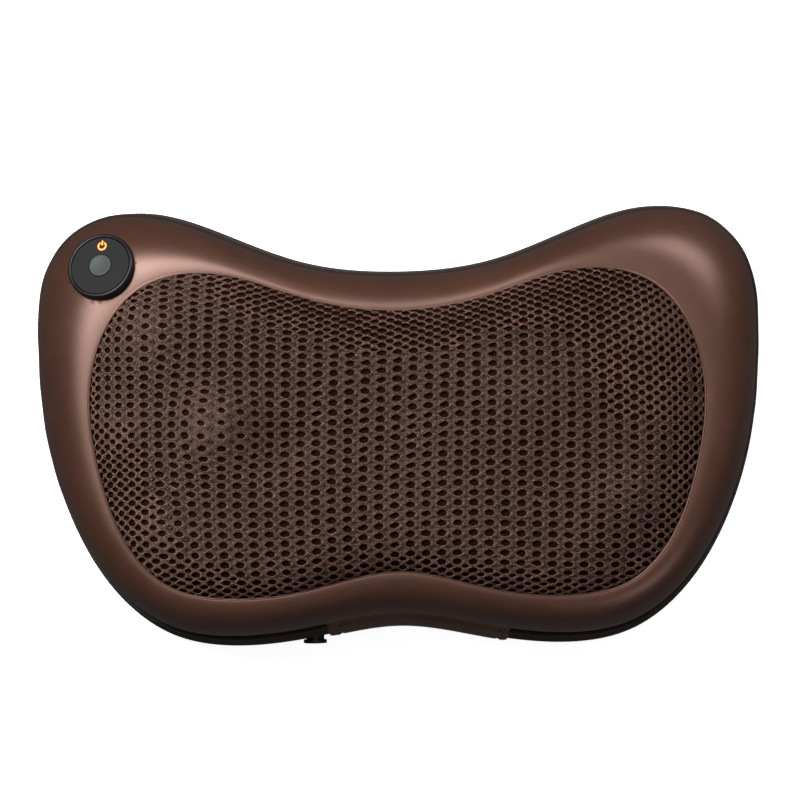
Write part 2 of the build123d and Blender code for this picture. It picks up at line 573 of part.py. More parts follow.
# ---- heads ----
for name, side in SIDES.items():
    axis = upright(side * HEAD_X, 0)

    with BuildPart() as head_bushes:
        add(circle_tool(axis, BUSH_R, INSIDE_Z + 1, LOWER_BOSS_TOP + 0.5))
        add(circle_tool(axis, BUSH_R, BRIDGE_Z - 0.3, BRIDGE_BOSS_TOP))
        add(circle_tool(axis, SHAFT_R + RUN, 0, THICKNESS), mode=Mode.SUBTRACT)
    save(head_bushes.part, f"head_bushes_{name}")

    with BuildPart() as worm_wheel:
        with BuildSketch(axis.offset(WORM_Z - WHEEL_WIDTH / 2)):
            Circle(WHEEL_TIP_R)
            outer, inner = WHEEL_TIP_R + 0.5, WHEEL_ROOT_R
            wide = TOOTH_GAP / 2 + (outer - WHEEL_R) * FLANK
            narrow = TOOTH_GAP / 2 + (inner - WHEEL_R) * FLANK
            with PolarLocations(0, WHEEL_TEETH, start_angle=-90):
                gap = [(inner, -narrow), (outer, -wide), (outer, wide), (inner, narrow)]
                Polygon(*gap, align=None, mode=Mode.SUBTRACT)
        extrude(amount=WHEEL_WIDTH)
        add(circle_tool(axis, HUB_R, LOWER_BOSS_TOP + 0.8, BRIDGE_Z - 0.6))
        with BuildSketch(axis.offset(WORM_Z - WHEEL_WIDTH / 2)):
            with PolarLocations((HUB_R + WHEEL_ROOT_R) / 2, 6):
                Circle(3)
        extrude(amount=WHEEL_WIDTH, mode=Mode.SUBTRACT)
        add(circle_tool(axis, SHAFT_R + PRESS, 0, THICKNESS), mode=Mode.SUBTRACT)
    save(worm_wheel.part, f"worm_wheel_{name}")

    with BuildPart() as output_shaft:
        add(circle_tool(axis, SHAFT_R, INSIDE_Z + 1.1, SHAFT_TOP))
        chamfer(output_shaft.edges(), length=0.5)
        add(circle_tool(axis, SCREW_R + PRESS, SHAFT_TOP - 9, SHAFT_TOP), mode=Mode.SUBTRACT)
    save(output_shaft.part, f"output_shaft_{name}")

    with BuildPart() as bridge:
        with BuildSketch(Plane.XY.offset(BRIDGE_Z)):
            with Locations(*bridge_posts(side)):
                Circle(LUG_R)
            make_hull()
        extrude(amount=BRIDGE_THICK)
        add(circle_tool(axis, BUSH_R + WALL, BRIDGE_Z, BRIDGE_BOSS_TOP))
        add(circle_tool(axis, BUSH_R + PRESS, 0, THICKNESS), mode=Mode.SUBTRACT)
        for x, y in bridge_posts(side):
            add(circle_tool(upright(x, y), SCREW_R + 0.2, 0, THICKNESS), mode=Mode.SUBTRACT)
    save(bridge.part, f"gearbox_cover_{name}")

    ball_places = [
        (side * HEAD_X + RING_R * cos(radians(a)), RING_R * sin(radians(a))) for a in (0, 90, 180, 270)
    ]
    with BuildPart() as rotor:
        add(circle_tool(axis, ROTOR_R, ROTOR_Z, ROTOR_Z + ROTOR_THICK))
        add(circle_tool(axis, HUB_R, ROTOR_Z - 7, ROTOR_Z))
        for x, y in ball_places:
            add(circle_tool(upright(x, y), BALL_NECK_R, ROTOR_Z, BALL_SEAT_Z))
            add(circle_tool(upright(x, y), POST_R, ROTOR_Z, BALL_SEAT_Z + POST_HEIGHT))
            add(circle_tool(upright(x, y), SCREW_R + 0.2, 0, THICKNESS), mode=Mode.SUBTRACT)
        with BuildSketch(axis.offset(ROTOR_Z)):
            with PolarLocations(RING_R + 9, 4, start_angle=45):
                Circle(5)
        extrude(amount=ROTOR_THICK, mode=Mode.SUBTRACT)
        add(circle_tool(axis, SHAFT_R + PRESS, 0, SHAFT_TOP + 0.1), mode=Mode.SUBTRACT)
        add(circle_tool(axis, SCREW_R + 0.3, 0, THICKNESS), mode=Mode.SUBTRACT)
    save(rotor.part, f"rotor_{name}")
    save(screws([(side * HEAD_X, 0, ROTOR_Z + ROTOR_THICK)], 8), f"rotor_screw_{name}")

    for kind, radius, places in (
        ("tall", TALL_BALL_R, ball_places[0::2]),
        ("short", SHORT_BALL_R, ball_places[1::2]),
    ):
        with BuildPart() as balls:
            for x, y in places:
                with BuildSketch(Plane(origin=(x, y, BALL_SEAT_Z), x_dir=(1, 0, 0), z_dir=(0, -1, 0))):
                    with BuildLine():
                        neck = radius - (radius**2 - BALL_NECK_R**2) ** 0.5
                        Polyline((0, 2 * radius), (0, 0), (BALL_NECK_R, 0), (BALL_NECK_R, neck))
                        ThreePointArc((BALL_NECK_R, neck), (radius, radius), (0, 2 * radius))
                    make_face()
                revolve(axis=Axis((x, y, 0), (0, 0, 1)))
                bore = upright(x, y).offset(BALL_SEAT_Z)
                add(circle_tool(bore, POST_R + PRESS, 0, POST_HEIGHT + 0.3), mode=Mode.SUBTRACT)
                add(circle_tool(bore, SCREW_R + PRESS, 0, POST_HEIGHT + 7), mode=Mode.SUBTRACT)
        save(balls.part, f"{kind}_balls_{name}")
    ball_seats = [(x, y, ROTOR_Z) for x, y in ball_places]
    save(screws(ball_seats, BALL_SEAT_Z - ROTOR_Z + POST_HEIGHT + 6, down=False), f"ball_screws_{name}")

gearbox_seats = [(x, y, BRIDGE_Z + BRIDGE_THICK) for side in SIDES.values() for x, y in bridge_posts(side)]
save(screws(gearbox_seats, BRIDGE_THICK + BRIDGE_BITE - 1), "gearbox_screws")

# ---- control: cup, face, push button, lit symbol, circuit board ----
def on_control(x, y):
    """The control's plane moved to a place on its face."""
    return Plane(origin=CONTROL.from_local_coords((x, y, 0)), x_dir=CONTROL.x_dir, z_dir=CONTROL.z_dir)


def power_symbol(spread):
    """A broken ring with a bar through its gap, each line made wider by spread on both sides."""
    with BuildSketch(on_control(0, SYMBOL_Y)) as symbol:
        Circle(SYMBOL_R + SYMBOL_LINE / 2 + spread)
        Circle(SYMBOL_R - SYMBOL_LINE / 2 - spread, mode=Mode.SUBTRACT)
        with Locations((0, SYMBOL_R)):
            Rectangle(2 * SYMBOL_R * 0.55 - 2 * spread, SYMBOL_R, mode=Mode.SUBTRACT)
        with Locations((0, SYMBOL_R * 0.85)):
            Rectangle(SYMBOL_LINE + 2 * spread, SYMBOL_R * 1.2 + 2 * spread)
    return symbol.sketch


with BuildPart() as control_bezel:
    add(circle_tool(CONTROL, CONTROL_R, -CUP_DEPTH, CONTROL_PROUD))
    rim = control_bezel.edges().filter_by(GeomType.CIRCLE).sort_by(Axis(CONTROL.origin, CONTROL.z_dir))[-1]
    fillet(rim, radius=0.9)
    add(circle_tool(CONTROL, CUP_BORE_R, -CUP_DEPTH + CUP_FLOOR, CONTROL_PROUD + 1), mode=Mode.SUBTRACT)
    for angle in (90, 210, 330):
        foot = on_control(CUP_POST_RING * cos(radians(angle)), CUP_POST_RING * sin(radians(angle)))
        add(circle_tool(foot, 1.5, -CUP_DEPTH, PCB_Z))
    for x in (-CUP_LEAD_X, CUP_LEAD_X):
        add(circle_tool(on_control(x, 0), LEAD_R + 0.3, -CUP_DEPTH - 1, PCB_Z), mode=Mode.SUBTRACT)
save(control_bezel.part, "control_bezel")

with BuildPart() as control_face:
    add(circle_tool(CONTROL, CUP_BORE_R - 0.1, FACE_Z, FACE_Z + FACE_THICK))
    add(circle_tool(CONTROL, BUTTON_R + 0.25, FACE_Z - 1, FACE_Z + 3), mode=Mode.SUBTRACT)
    extrude(power_symbol(0.08), amount=FACE_Z + 3, mode=Mode.SUBTRACT)
save(control_face.part, "control_face")

with BuildPart() as power_button:
    add(circle_tool(CONTROL, BUTTON_R, FACE_Z - 1, BUTTON_TOP))
    crown = power_button.edges().filter_by(GeomType.CIRCLE).sort_by(Axis(CONTROL.origin, CONTROL.z_dir))[-1]
    fillet(crown, radius=0.5)
    add(circle_tool(CONTROL, BUTTON_FLANGE_R, FACE_Z - 1, FACE_Z - 0.2))
    add(circle_tool(CONTROL, 1.5, BUTTON_FOOT, FACE_Z - 1))
save(power_button.part, "power_button")

with BuildPart() as power_lens:
    add(circle_tool(on_control(0, SYMBOL_Y), SYMBOL_R + SYMBOL_LINE, FACE_Z - 0.6, FACE_Z - 0.05))
    lifted = Plane(origin=CONTROL.from_local_coords((0, 0, FACE_Z - 0.05)), z_dir=CONTROL.z_dir)
    extrude(power_symbol(0.0).moved(Location(lifted.origin - CONTROL.origin)), amount=FACE_THICK + 0.15)
save(power_lens.part, "power_lens")

with BuildPart() as control_board:
    add(circle_tool(CONTROL, CUP_BORE_R - 0.6, PCB_Z, PCB_Z + PCB_THICK))
save(control_board.part, "control_board")

with BuildPart() as tact_switch:
    with BuildSketch(CONTROL.offset(PCB_Z + PCB_THICK)):
        Rectangle(SWITCH_SIDE, SWITCH_SIDE)
    extrude(amount=SWITCH_HEIGHT)
    add(circle_tool(CONTROL, SWITCH_STEM_R, PCB_Z + PCB_THICK, BUTTON_FOOT - BUTTON_TRAVEL - SWITCH_PLAY))
save(tact_switch.part, "tact_switch")

with BuildPart() as indicator_led:
    with BuildSketch(on_control(0, SYMBOL_Y).offset(PCB_Z + PCB_THICK)):
        Rectangle(*LED_SIZE[:2])
    extrude(amount=LED_SIZE[2])
save(indicator_led.part, "indicator_led")

# ---- socket for the adapter ----
with BuildPart() as dc_jack:
    add(circle_tool(JACK, JACK_FLANGE_R, -JACK_FLANGE, 0.2))
    add(circle_tool(JACK, JACK_BODY_R, 0, JACK_LENGTH))
    add(circle_tool(JACK, JACK_BORE_R, -JACK_FLANGE, JACK_DEPTH - JACK_FLANGE), mode=Mode.SUBTRACT)
    add(circle_tool(JACK, JACK_STEM_R + PRESS, 0, JACK_LENGTH), mode=Mode.SUBTRACT)
save(dc_jack.part, "dc_jack")

with BuildPart() as jack_pin:
    add(circle_tool(JACK, JACK_PIN_R, 1 - JACK_FLANGE, JACK_DEPTH))
    add(circle_tool(JACK, JACK_STEM_R, JACK_DEPTH - JACK_FLANGE, JACK_LENGTH + 2))
save(jack_pin.part, "jack_pin")


# ---- leads inside the housing ----
def arc_radii(points):
    """The largest arcs that the runs of a route allow, one for each corner."""
    radii = []
    for before, corner, after in zip(points, points[1:], points[2:]):
        run_in, run_out = Vector(*corner) - Vector(*before), Vector(*after) - Vector(*corner)
        shorter = min(run_in.length, run_out.length)
        radii.append(0.45 * shorter / tan(radians(run_in.get_angle(run_out) / 2)))
    return radii


def lead(points):
    """A round two-core lead along straight runs and arcs."""
    with BuildPart() as tube:
        with BuildLine():
            route = FilletPolyline(*points, radius=arc_radii(points))
        with BuildSketch(Plane(origin=route @ 0, z_dir=route % 0)):
            Circle(LEAD_R)
        sweep(path=route)
    return tube.part


def into_cup(x, depth):
    """A point on the way of a lead into the control's cup."""
    at = CONTROL.from_local_coords((x, 0, depth))
    return (at.X, at.Y, at.Z)


jack_end = JACK_FACE_Y + JACK_LENGTH + JACK_TERMINAL
jack_route = [
    (JACK_X, jack_end, BULGE_Z), (JACK_X, jack_end + 13, 13), (JACK_X - 1, -14, 12), (JACK_X + 1, 14, 12),
    (-48, 40, 17), (-78, 49, 30), (-104, 50, 44), into_cup(-CUP_LEAD_X, -17), into_cup(-CUP_LEAD_X, PCB_Z - 0.3),
]
motor_route = [
    (-MOTOR_HALF - MOTOR_TERMINAL, WORM_Y + TERMINAL_Y, WORM_Z + 8), (-35, -20, 33), (-36, -2, 31), (-39, 17, 27),
    (-52, 40, 27), (-80, 52, 38), (-102, 54, 48), into_cup(CUP_LEAD_X, -16), into_cup(CUP_LEAD_X, PCB_Z - 0.3),
]
for name, route in {"jack_lead": jack_route, "motor_lead": motor_route}.items():
    save(lead(route), name)

# ---- strap across the back ----
with BuildPart() as elastic_strap:
    add(block((-STRAP_HALF, STRAP_HALF), (STRAP_Y - STRAP_WIDTH / 2, STRAP_Y + STRAP_WIDTH / 2), STRAP_Z))
save(elastic_strap.part, "elastic_strap")

with BuildPart() as strap_patches:
    for side in SIDES.values():
        x = sorted((side * (STRAP_HALF - STRAP_PATCH), side * (STRAP_HALF + 6)))
        add(block(x, (STRAP_Y - STRAP_WIDTH / 2, STRAP_Y + STRAP_WIDTH / 2), STRAP_PATCH_Z))
save(strap_patches.part, "strap_patches")

# ---- zip in the back ----
with BuildPart() as zip_tape:
    add(block((-ZIP_HALF - 4, ZIP_HALF + 4), (ZIP_Y - ZIP_TAPE / 2, ZIP_Y + ZIP_TAPE / 2), ZIP_TAPE_Z))
    coil_y = (ZIP_Y - ZIP_COIL_HALF, ZIP_Y + ZIP_COIL_HALF)
    add(block((-ZIP_HALF, ZIP_HALF), coil_y, (ZIP_COIL_Z, ZIP_TAPE_Z[0])))
save(zip_tape.part, "zip_tape")

slider_x = -ZIP_HALF + 8
pin_x = slider_x + 6
pull_pin = Plane(origin=(pin_x, ZIP_Y, PULL_Z), x_dir=(1, 0, 0), z_dir=(0, 1, 0))
with BuildPart() as zip_slider:
    add(block((slider_x - 4.5, slider_x + 4.5), (ZIP_Y - 3.5, ZIP_Y + 3.5), (0.7, 2.9)))
    add(block((slider_x - 5, slider_x + 8), (ZIP_Y - 1.4, ZIP_Y + 1.4), (ZIP_COIL_Z - 0.2, 4)), mode=Mode.SUBTRACT)
    for side in SIDES.values():
        ear = sorted((ZIP_Y + side * 1.6, ZIP_Y + side * 2.8))
        add(block((slider_x + 4, pin_x + 1), ear, (PULL_Z - 0.8, PULL_Z + 0.8)))
    add(circle_tool(pull_pin, PULL_PIN_R, -2.8, 2.8))
save(zip_slider.part, "zip_slider")

with BuildPart() as zip_pull:
    add(circle_tool(pull_pin, PULL_EYE_R, -1.3, 1.3))
    add(block((pin_x, pin_x + 6), (ZIP_Y - 1.3, ZIP_Y + 1.3), (PULL_Z - 0.35, PULL_Z + 0.35)))
    add(block((pin_x + 3, pin_x + 14), (ZIP_Y - 2.5, ZIP_Y + 2.5), (PULL_Z - 0.35, PULL_Z + 0.35)))
    add(circle_tool(pull_pin, PULL_PIN_R + 0.05, -3, 3), mode=Mode.SUBTRACT)
save(zip_pull.part, "zip_pull")
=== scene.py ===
import json
import math
from math import cos, pi, sin

import bmesh
import bpy
import numpy as np
from mathutils import Matrix, Vector


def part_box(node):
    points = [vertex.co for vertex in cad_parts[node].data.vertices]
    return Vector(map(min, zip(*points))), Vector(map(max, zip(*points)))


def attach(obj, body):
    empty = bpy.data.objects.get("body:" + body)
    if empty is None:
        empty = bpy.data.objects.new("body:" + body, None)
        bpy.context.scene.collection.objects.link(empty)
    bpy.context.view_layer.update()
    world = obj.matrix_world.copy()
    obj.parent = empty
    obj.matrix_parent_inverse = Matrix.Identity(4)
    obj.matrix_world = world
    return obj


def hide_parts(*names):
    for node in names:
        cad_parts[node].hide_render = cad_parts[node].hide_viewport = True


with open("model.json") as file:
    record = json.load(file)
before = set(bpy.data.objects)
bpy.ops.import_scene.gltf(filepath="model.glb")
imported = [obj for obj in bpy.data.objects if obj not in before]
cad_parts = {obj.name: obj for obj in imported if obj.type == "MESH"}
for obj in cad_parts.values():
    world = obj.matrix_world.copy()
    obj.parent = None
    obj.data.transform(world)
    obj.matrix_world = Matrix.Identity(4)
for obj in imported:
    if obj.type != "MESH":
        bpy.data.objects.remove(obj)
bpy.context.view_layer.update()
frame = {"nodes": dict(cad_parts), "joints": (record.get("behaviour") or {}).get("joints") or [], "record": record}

MM = 0.001
ROOT = "pillow"

# ---- sizes taken from the frame ----
side_high = np.array(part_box("rear_cover")[1])
mesh_low, mesh_high = (np.array(c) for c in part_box("mesh_panel"))
piping_low, piping_high = (np.array(c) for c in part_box("piping"))
leather_low = np.array(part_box("leather_border")[0])
patch_low, patch_high = (np.array(c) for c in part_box("bottom_patch"))
HALF_W = side_high[0]
HALF_H = side_high[1]
CROWN_Z = mesh_high[2]
RIM_Z = mesh_low[2] + 4 * MM
SEAM_Z = (piping_low[2] + piping_high[2]) / 2
PIPING_R = (piping_high[2] - piping_low[2]) / 2
LEATHER_FOOT = leather_low[2]
SEAM_INSET = 4.2 * MM
SEAM_RISE = 1.2 * MM
BORDER_POWER = 2.2

# Half outlines from the top dip round the right side to the bottom dip, as shares of the half sizes.
SIDE_SHAPE = [
    (0, 0.715), (0.258, 0.762), (0.497, 0.910), (0.697, 1.0), (0.871, 0.935), (0.968, 0.753), (1.0, 0.376),
    (0.976, -0.065), (0.906, -0.435), (0.787, -0.753), (0.632, -0.946), (0.439, -1.0), (0.232, -0.962),
    (0, -0.906),
]
PANEL_SHAPE = [
    (0, 0.484), (0.258, 0.553), (0.387, 0.624), (0.542, 0.656), (0.671, 0.591), (0.761, 0.419),
    (0.805, 0.075), (0.775, -0.247), (0.713, -0.511), (0.600, -0.704), (0.452, -0.760), (0.232, -0.726),
    (0, -0.652),
]
PANEL_CENTRE = np.array([0.0, -0.05 * HALF_H])
STATIONS = 320


# ---- outlines ----
def smooth_loop(points, count):
    """Evenly spaced points along the smooth closed curve through a few points."""
    p = np.array(points, float)
    n = len(p)
    gap = np.linalg.norm(np.roll(p, -1, 0) - p, axis=1)
    matrix = np.zeros((n, n))
    pull = np.zeros((n, 2))
    for i in range(n):
        before, after = gap[i - 1], gap[i]
        matrix[i, i - 1] += before
        matrix[i, i] += 2 * (before + after)
        matrix[i, (i + 1) % n] += after
        pull[i] = 6 * ((p[(i + 1) % n] - p[i]) / after - (p[i] - p[i - 1]) / before)
    bend = np.linalg.solve(matrix, pull)
    dense = []
    for i in range(n):
        h, j = gap[i], (i + 1) % n
        for u in np.arange(0, 1, 0.005):
            a, b = 1 - u, u
            curve = ((a**3 - a) * bend[i] + (b**3 - b) * bend[j]) * h * h / 6
            dense.append(a * p[i] + b * p[j] + curve)
    dense = np.array(dense)
    walk = np.append(0, np.cumsum(np.linalg.norm(np.roll(dense, -1, 0) - dense, axis=1)))
    closed = np.vstack([dense, dense[:1]])
    at = np.arange(count) / count * walk[-1]
    return np.stack([np.interp(at, walk, closed[:, k]) for k in range(2)], 1)


def whole(half_shape):
    """A half outline and its mirror image, in metres."""
    half = [(x * HALF_W, y * HALF_H) for x, y in half_shape]
    return half + [(-x, y) for x, y in reversed(half[1:-1])]


def inward(loop):
    """The inward normals of a clockwise loop."""
    along = np.roll(loop, -1, 0) - np.roll(loop, 1, 0)
    along /= np.linalg.norm(along, axis=1)[:, None]
    return np.stack([along[:, 1], -along[:, 0]], 1)


SIDE = smooth_loop(whole(SIDE_SHAPE), STATIONS)
PANEL = smooth_loop(whole(PANEL_SHAPE), STATIONS)
SIDE_IN = inward(SIDE)
PANEL_IN = inward(PANEL)


# ---- building meshes ----
def piece(name, verts, faces, smooth=True, slots=None):
    """A mesh object in the frame's own coordinates, with a material slot number for each face if given."""
    mesh = bpy.data.meshes.new(name)
    mesh.from_pydata([tuple(v) for v in verts], [], faces)
    if slots:
        mesh.polygons.foreach_set("material_index", slots)
    mesh.validate()
    mesh.update()
    if smooth:
        mesh.polygons.foreach_set("use_smooth", [True] * len(mesh.polygons))
    made = bpy.data.objects.new(name, mesh)
    bpy.context.scene.collection.objects.link(made)
    return made


def skin(name, rows, cap_first=False, cap_last=False, closed=True):
    """A surface through rows of equally many points; each row closes on itself unless told otherwise."""
    count = len(rows[0])
    verts = [v for row in rows for v in row]
    faces = []
    span = count if closed else count - 1
    for r in range(len(rows) - 1):
        for i in range(span):
            j = (i + 1) % count
            faces.append((r * count + i, r * count + j, (r + 1) * count + j, (r + 1) * count + i))
    if cap_first:
        faces.append(tuple(reversed(range(count))))
    if cap_last:
        last = (len(rows) - 1) * count
        faces.append(tuple(range(last, last + count)))
    made = piece(name, verts, faces)
    outward(made)
    return made


def outward(made):
    """Turns every face's normal outwards."""
    work = bmesh.new()
    work.from_mesh(made.data)
    bmesh.ops.recalc_face_normals(work, faces=work.faces)
    work.to_mesh(made.data)
    work.free()


def apply_modifiers(made):
    """Bakes the modifiers of a piece into its mesh."""
    graph = bpy.context.evaluated_depsgraph_get()
    mesh = bpy.data.meshes.new_from_object(made.evaluated_get(graph))
    made.modifiers.clear()
    made.data = mesh


def cut_out(made, cutter):
    """Takes a cutter's solid out of a piece and removes the cutter."""
    cut = made.modifiers.new("cut", "BOOLEAN")
    cut.object, cut.operation, cut.solver = cutter, "DIFFERENCE", "EXACT"
    bpy.context.view_layer.update()
    apply_modifiers(made)
    bpy.data.objects.remove(cutter)


def lathe(name, profile, centre, axis, up, turns=96):
    """A round piece: (radius, height) pairs turned about an axis through centre. Heights in millimetres."""
    axis, side = Vector(axis).normalized(), Vector(up).normalized()
    other = axis.cross(side)
    rows = []
    for r, h in profile:
        row = []
        for i in range(turns):
            a = 2 * pi * i / turns
            row.append(Vector(centre) + (side * cos(a) + other * sin(a)) * max(r, 0.01) * MM + axis * h * MM)
        rows.append(row)
    return skin(name, rows, cap_first=True, cap_last=True)


def capsules(name, places, length, radius, ends=6):
    """Short rounded threads: (middle, direction) pairs, all of one length and radius."""
    verts, faces = [], []
    for middle, direction in places:
        direction = Vector(direction).normalized()
        side = direction.orthogonal().normalized()
        other = direction.cross(side)
        first = len(verts)
        for t, swell in ((-0.5, 0.35), (-0.42, 0.8), (-0.2, 1.0), (0.2, 1.0), (0.42, 0.8), (0.5, 0.35)):
            for k in range(ends):
                a = 2 * pi * k / ends
                out = (side * cos(a) + other * sin(a)) * radius * swell
                verts.append(Vector(middle) + direction * (t * length) + out)
        for r in range(5):
            for k in range(ends):
                a, b = first + r * ends, first + (r + 1) * ends
                faces.append((a + k, a + (k + 1) % ends, b + (k + 1) % ends, b + k))
        faces.append(tuple(reversed(range(first, first + ends))))
        faces.append(tuple(range(first + 5 * ends, first + 6 * ends)))
    return piece(name, verts, faces)


def rounded_box(name, low, high, radius, segments=3):
    """A box with rounded edges."""
    work = bmesh.new()
    bmesh.ops.create_cube(work, size=1)
    for v in work.verts:
        v.co = Vector([low[k] + (v.co[k] + 0.5) * (high[k] - low[k]) for k in range(3)])
    bmesh.ops.bevel(work, geom=work.edges[:], offset=radius, segments=segments, profile=0.5, affect="EDGES")
    mesh = bpy.data.meshes.new(name)
    work.to_mesh(mesh)
    work.free()
    made = bpy.data.objects.new(name, mesh)
    bpy.context.scene.collection.objects.link(made)
    return made


# ---- shader arithmetic ----
class Wire:
    """A shader socket that Python arithmetic can use: every operator adds its Math node."""

    def __init__(self, finish, socket):
        self.finish, self.socket = finish, socket

    def __add__(self, other):
        return self.finish.math("ADD", self, other)

    def __sub__(self, other):
        return self.finish.math("SUBTRACT", self, other)

    def __rsub__(self, other):
        return self.finish.math("SUBTRACT", other, self)

    def __mul__(self, other):
        return self.finish.math("MULTIPLY", self, other)

    __radd__ = __add__
    __rmul__ = __mul__

    def between(self, low, high):
        """0 below low, 1 above high, smooth between."""
        inputs = {"Value": self, "From Min": low, "From Max": high}
        return self.finish.node("ShaderNodeMapRange", {"interpolation_type": "SMOOTHSTEP"}, inputs)


class Finish:
    """One node material and the ways to add nodes to it."""

    def __init__(self, name, metallic=0.0, roughness=0.5, **sockets):
        self.material = bpy.data.materials.new(name)
        self.material.use_nodes = True
        self.tree = self.material.node_tree
        self.surface = self.tree.nodes["Principled BSDF"]
        self.surface.inputs["Metallic"].default_value = metallic
        self.surface.inputs["Roughness"].default_value = roughness
        for socket, value in sockets.items():
            self.surface.inputs[socket.replace("_", " ")].default_value = value
        self.place = self.node("ShaderNodeTexCoord", output="Object")

    def node(self, kind, settings=None, inputs=None, output=0):
        """Adds a node: its settings first, then its sockets' values or links. Returns one output."""
        made = self.tree.nodes.new(kind)
        for key, value in (settings or {}).items():
            setattr(made, key, value)
        for key, value in (inputs or {}).items():
            self.feed(made.inputs[key], value)
        return Wire(self, made.outputs[output])

    def feed(self, socket, value):
        """Links a wire to a socket, or sets the socket's own value."""
        if isinstance(value, Wire):
            self.tree.links.new(value.socket, socket)
        else:
            socket.default_value = value

    def math(self, operation, *terms):
        return self.node("ShaderNodeMath", {"operation": operation}, dict(enumerate(terms)))

    def mix(self, share, first, second):
        """A colour between two colours."""
        inputs = {0: share, 6: first, 7: second}
        return self.node("ShaderNodeMix", {"data_type": "RGBA"}, inputs, output=2)

    def noise(self, scale, detail=2.0, roughness=0.5, vector=None):
        inputs = {"Vector": vector or self.place, "Scale": scale, "Detail": detail, "Roughness": roughness}
        return self.node("ShaderNodeTexNoise", None, inputs)

    def cells(self, scale, vector=None, feature="F1"):
        inputs = {"Vector": vector or self.place, "Scale": scale}
        return self.node("ShaderNodeTexVoronoi", {"feature": feature}, inputs)

    def axis(self, name):
        return self.node("ShaderNodeSeparateXYZ", None, {0: self.place}, output=name)

    def stretched(self, x, y, z):
        """The place, scaled on each axis."""
        inputs = {"Vector": self.place, "Scale": (x, y, z)}
        return self.node("ShaderNodeMapping", {"vector_type": "POINT"}, inputs)

    def bump(self, height, distance, strength=1.0):
        inputs = {"Height": height, "Distance": distance, "Strength": strength}
        self.feed(self.surface.inputs["Normal"], self.node("ShaderNodeBump", None, inputs))

    def set(self, **sockets):
        for socket, value in sockets.items():
            self.feed(self.surface.inputs[socket.replace("_", " ")], value)
        return self


def rgb(red, green, blue):
    """A display colour, 0 to 255, as a shader colour."""
    levels = [c / 255 for c in (red, green, blue)]
    return (*[c / 12.92 if c <= 0.04045 else ((c + 0.055) / 1.055) ** 2.4 for c in levels], 1.0)


def leather_finish(name, dark, light, roughness, metallic):
    """Satin coated leather with a pearl sheen, very fine pores and soft mottling."""
    f = Finish(name, metallic=metallic, roughness=roughness, Coat_Weight=0.14, Coat_Roughness=0.34)
    mottle = f.noise(22, 3) * 0.6 + f.noise(140, 3) * 0.4
    pores = f.cells(2600, feature="DISTANCE_TO_EDGE").between(0.0, 0.16)
    grain = f.noise(3800, 2)
    f.set(Base_Color=f.mix(mottle.between(0.3, 0.7), dark, light))
    f.set(Roughness=roughness - 0.05 + mottle * 0.08 + (1 - pores) * 0.06)
    f.bump(pores * 0.6 + grain * 0.4, 0.00002, 0.35)
    return f.material


def mesh_finish(name, dark, light_cool, light_warm, painted_glint_colour):
    """Looped brown yarn: bright and dark specks of a few tenths of a millimetre, the bright ones partly painted
    highlights on the loop tops, and a few painted glints, bright specks standing in for light shining off the
    loops.
    """
    f = Finish(name, roughness=0.5, Sheen_Weight=0.05, Specular_IOR_Level=0.22)
    loops = f.cells(2300, vector=f.stretched(1.0, 0.75, 1.0))
    fuzz = f.noise(3600, 3, 0.65)
    large = f.noise(35, 2)
    # partly the yarn's own speckle and partly painted highlight: the loop tops, raised by the bump, are painted
    # lighter
    light = (1 - loops.between(0.15, 0.62)) * 0.65 + fuzz.between(0.42, 0.66) * 0.55
    warm = f.mix(large.between(0.35, 0.65), light_cool, light_warm)
    # painted highlight: sparse bright specks in the glint colour stand in for light reflected off the yarn
    painted_glint_mask = f.noise(4300, 2, 0.7).between(0.57, 0.68)
    f.set(Base_Color=f.mix(painted_glint_mask, f.mix(light.between(0.28, 0.9), dark, warm), painted_glint_colour))
    f.bump(light + painted_glint_mask * 0.5, 0.0003, 0.8)
    return f.material


def weave_finish(name, dark, light, pitch, sheen=0.15, specular=0.25):
    """Plain weave: warp and weft ribs that pass over and under each other, with painted shade darkening the
    hollows between them.
    """
    f = Finish(name, roughness=0.85, Sheen_Weight=sheen, Specular_IOR_Level=specular)
    turn = 2 * pi / pitch
    x, y, z = (f.axis(k) for k in "XYZ")
    across = f.math("SINE", (x + y * 0.35) * turn)
    along = f.math("SINE", (z + y * 0.8) * turn)
    ribs = f.math("ABSOLUTE", across * along)
    fibre = f.noise(5200, 2)
    worn = f.noise(30, 3)
    # partly painted shade: the rib mask that shapes the bump also darkens the hollows; the fibre and worn noise
    # are the cloth's own tone
    f.set(Base_Color=f.mix(ribs * 0.6 + fibre * 0.25 + worn * 0.15, dark, light))
    f.bump(ribs + fibre * 0.3, 0.00018, 0.6)
    return f.material


def plastic_finish(name, colour, roughness, grain_scale=2500, depth=0.00002, fleck=0.12, **sockets):
    """Moulded plastic with a spark-eroded texture and faint flow marks."""
    f = Finish(name, roughness=roughness, **sockets)
    grain = f.noise(grain_scale, 2)
    flow = f.noise(28, 3)
    lighter = tuple(min(1.0, c * (1 + fleck) + 0.002) for c in colour[:3]) + (1.0,)
    f.set(Base_Color=f.mix(flow * 0.7 + grain * 0.3, colour, lighter))
    f.set(Roughness=roughness - 0.06 + grain * 0.1 + flow * 0.04)
    f.bump(grain, depth, 0.5)
    return f.material


def metal_finish(name, colour, roughness, streak=(1, 1, 1), scale=900):
    """Turned or rolled metal with fine directional marks and a few dull patches."""
    f = Finish(name, metallic=1.0, roughness=roughness)
    marks = f.noise(scale, 3, 0.6, vector=f.stretched(*streak))
    dull = f.noise(60, 3)
    darker = tuple(c * 0.78 for c in colour[:3]) + (1.0,)
    f.set(Base_Color=f.mix(marks * 0.6 + dull * 0.4, darker, colour))
    f.set(Roughness=roughness - 0.08 + marks * 0.14 + dull * 0.08)
    f.bump(marks, 0.00002, 0.4)
    return f.material


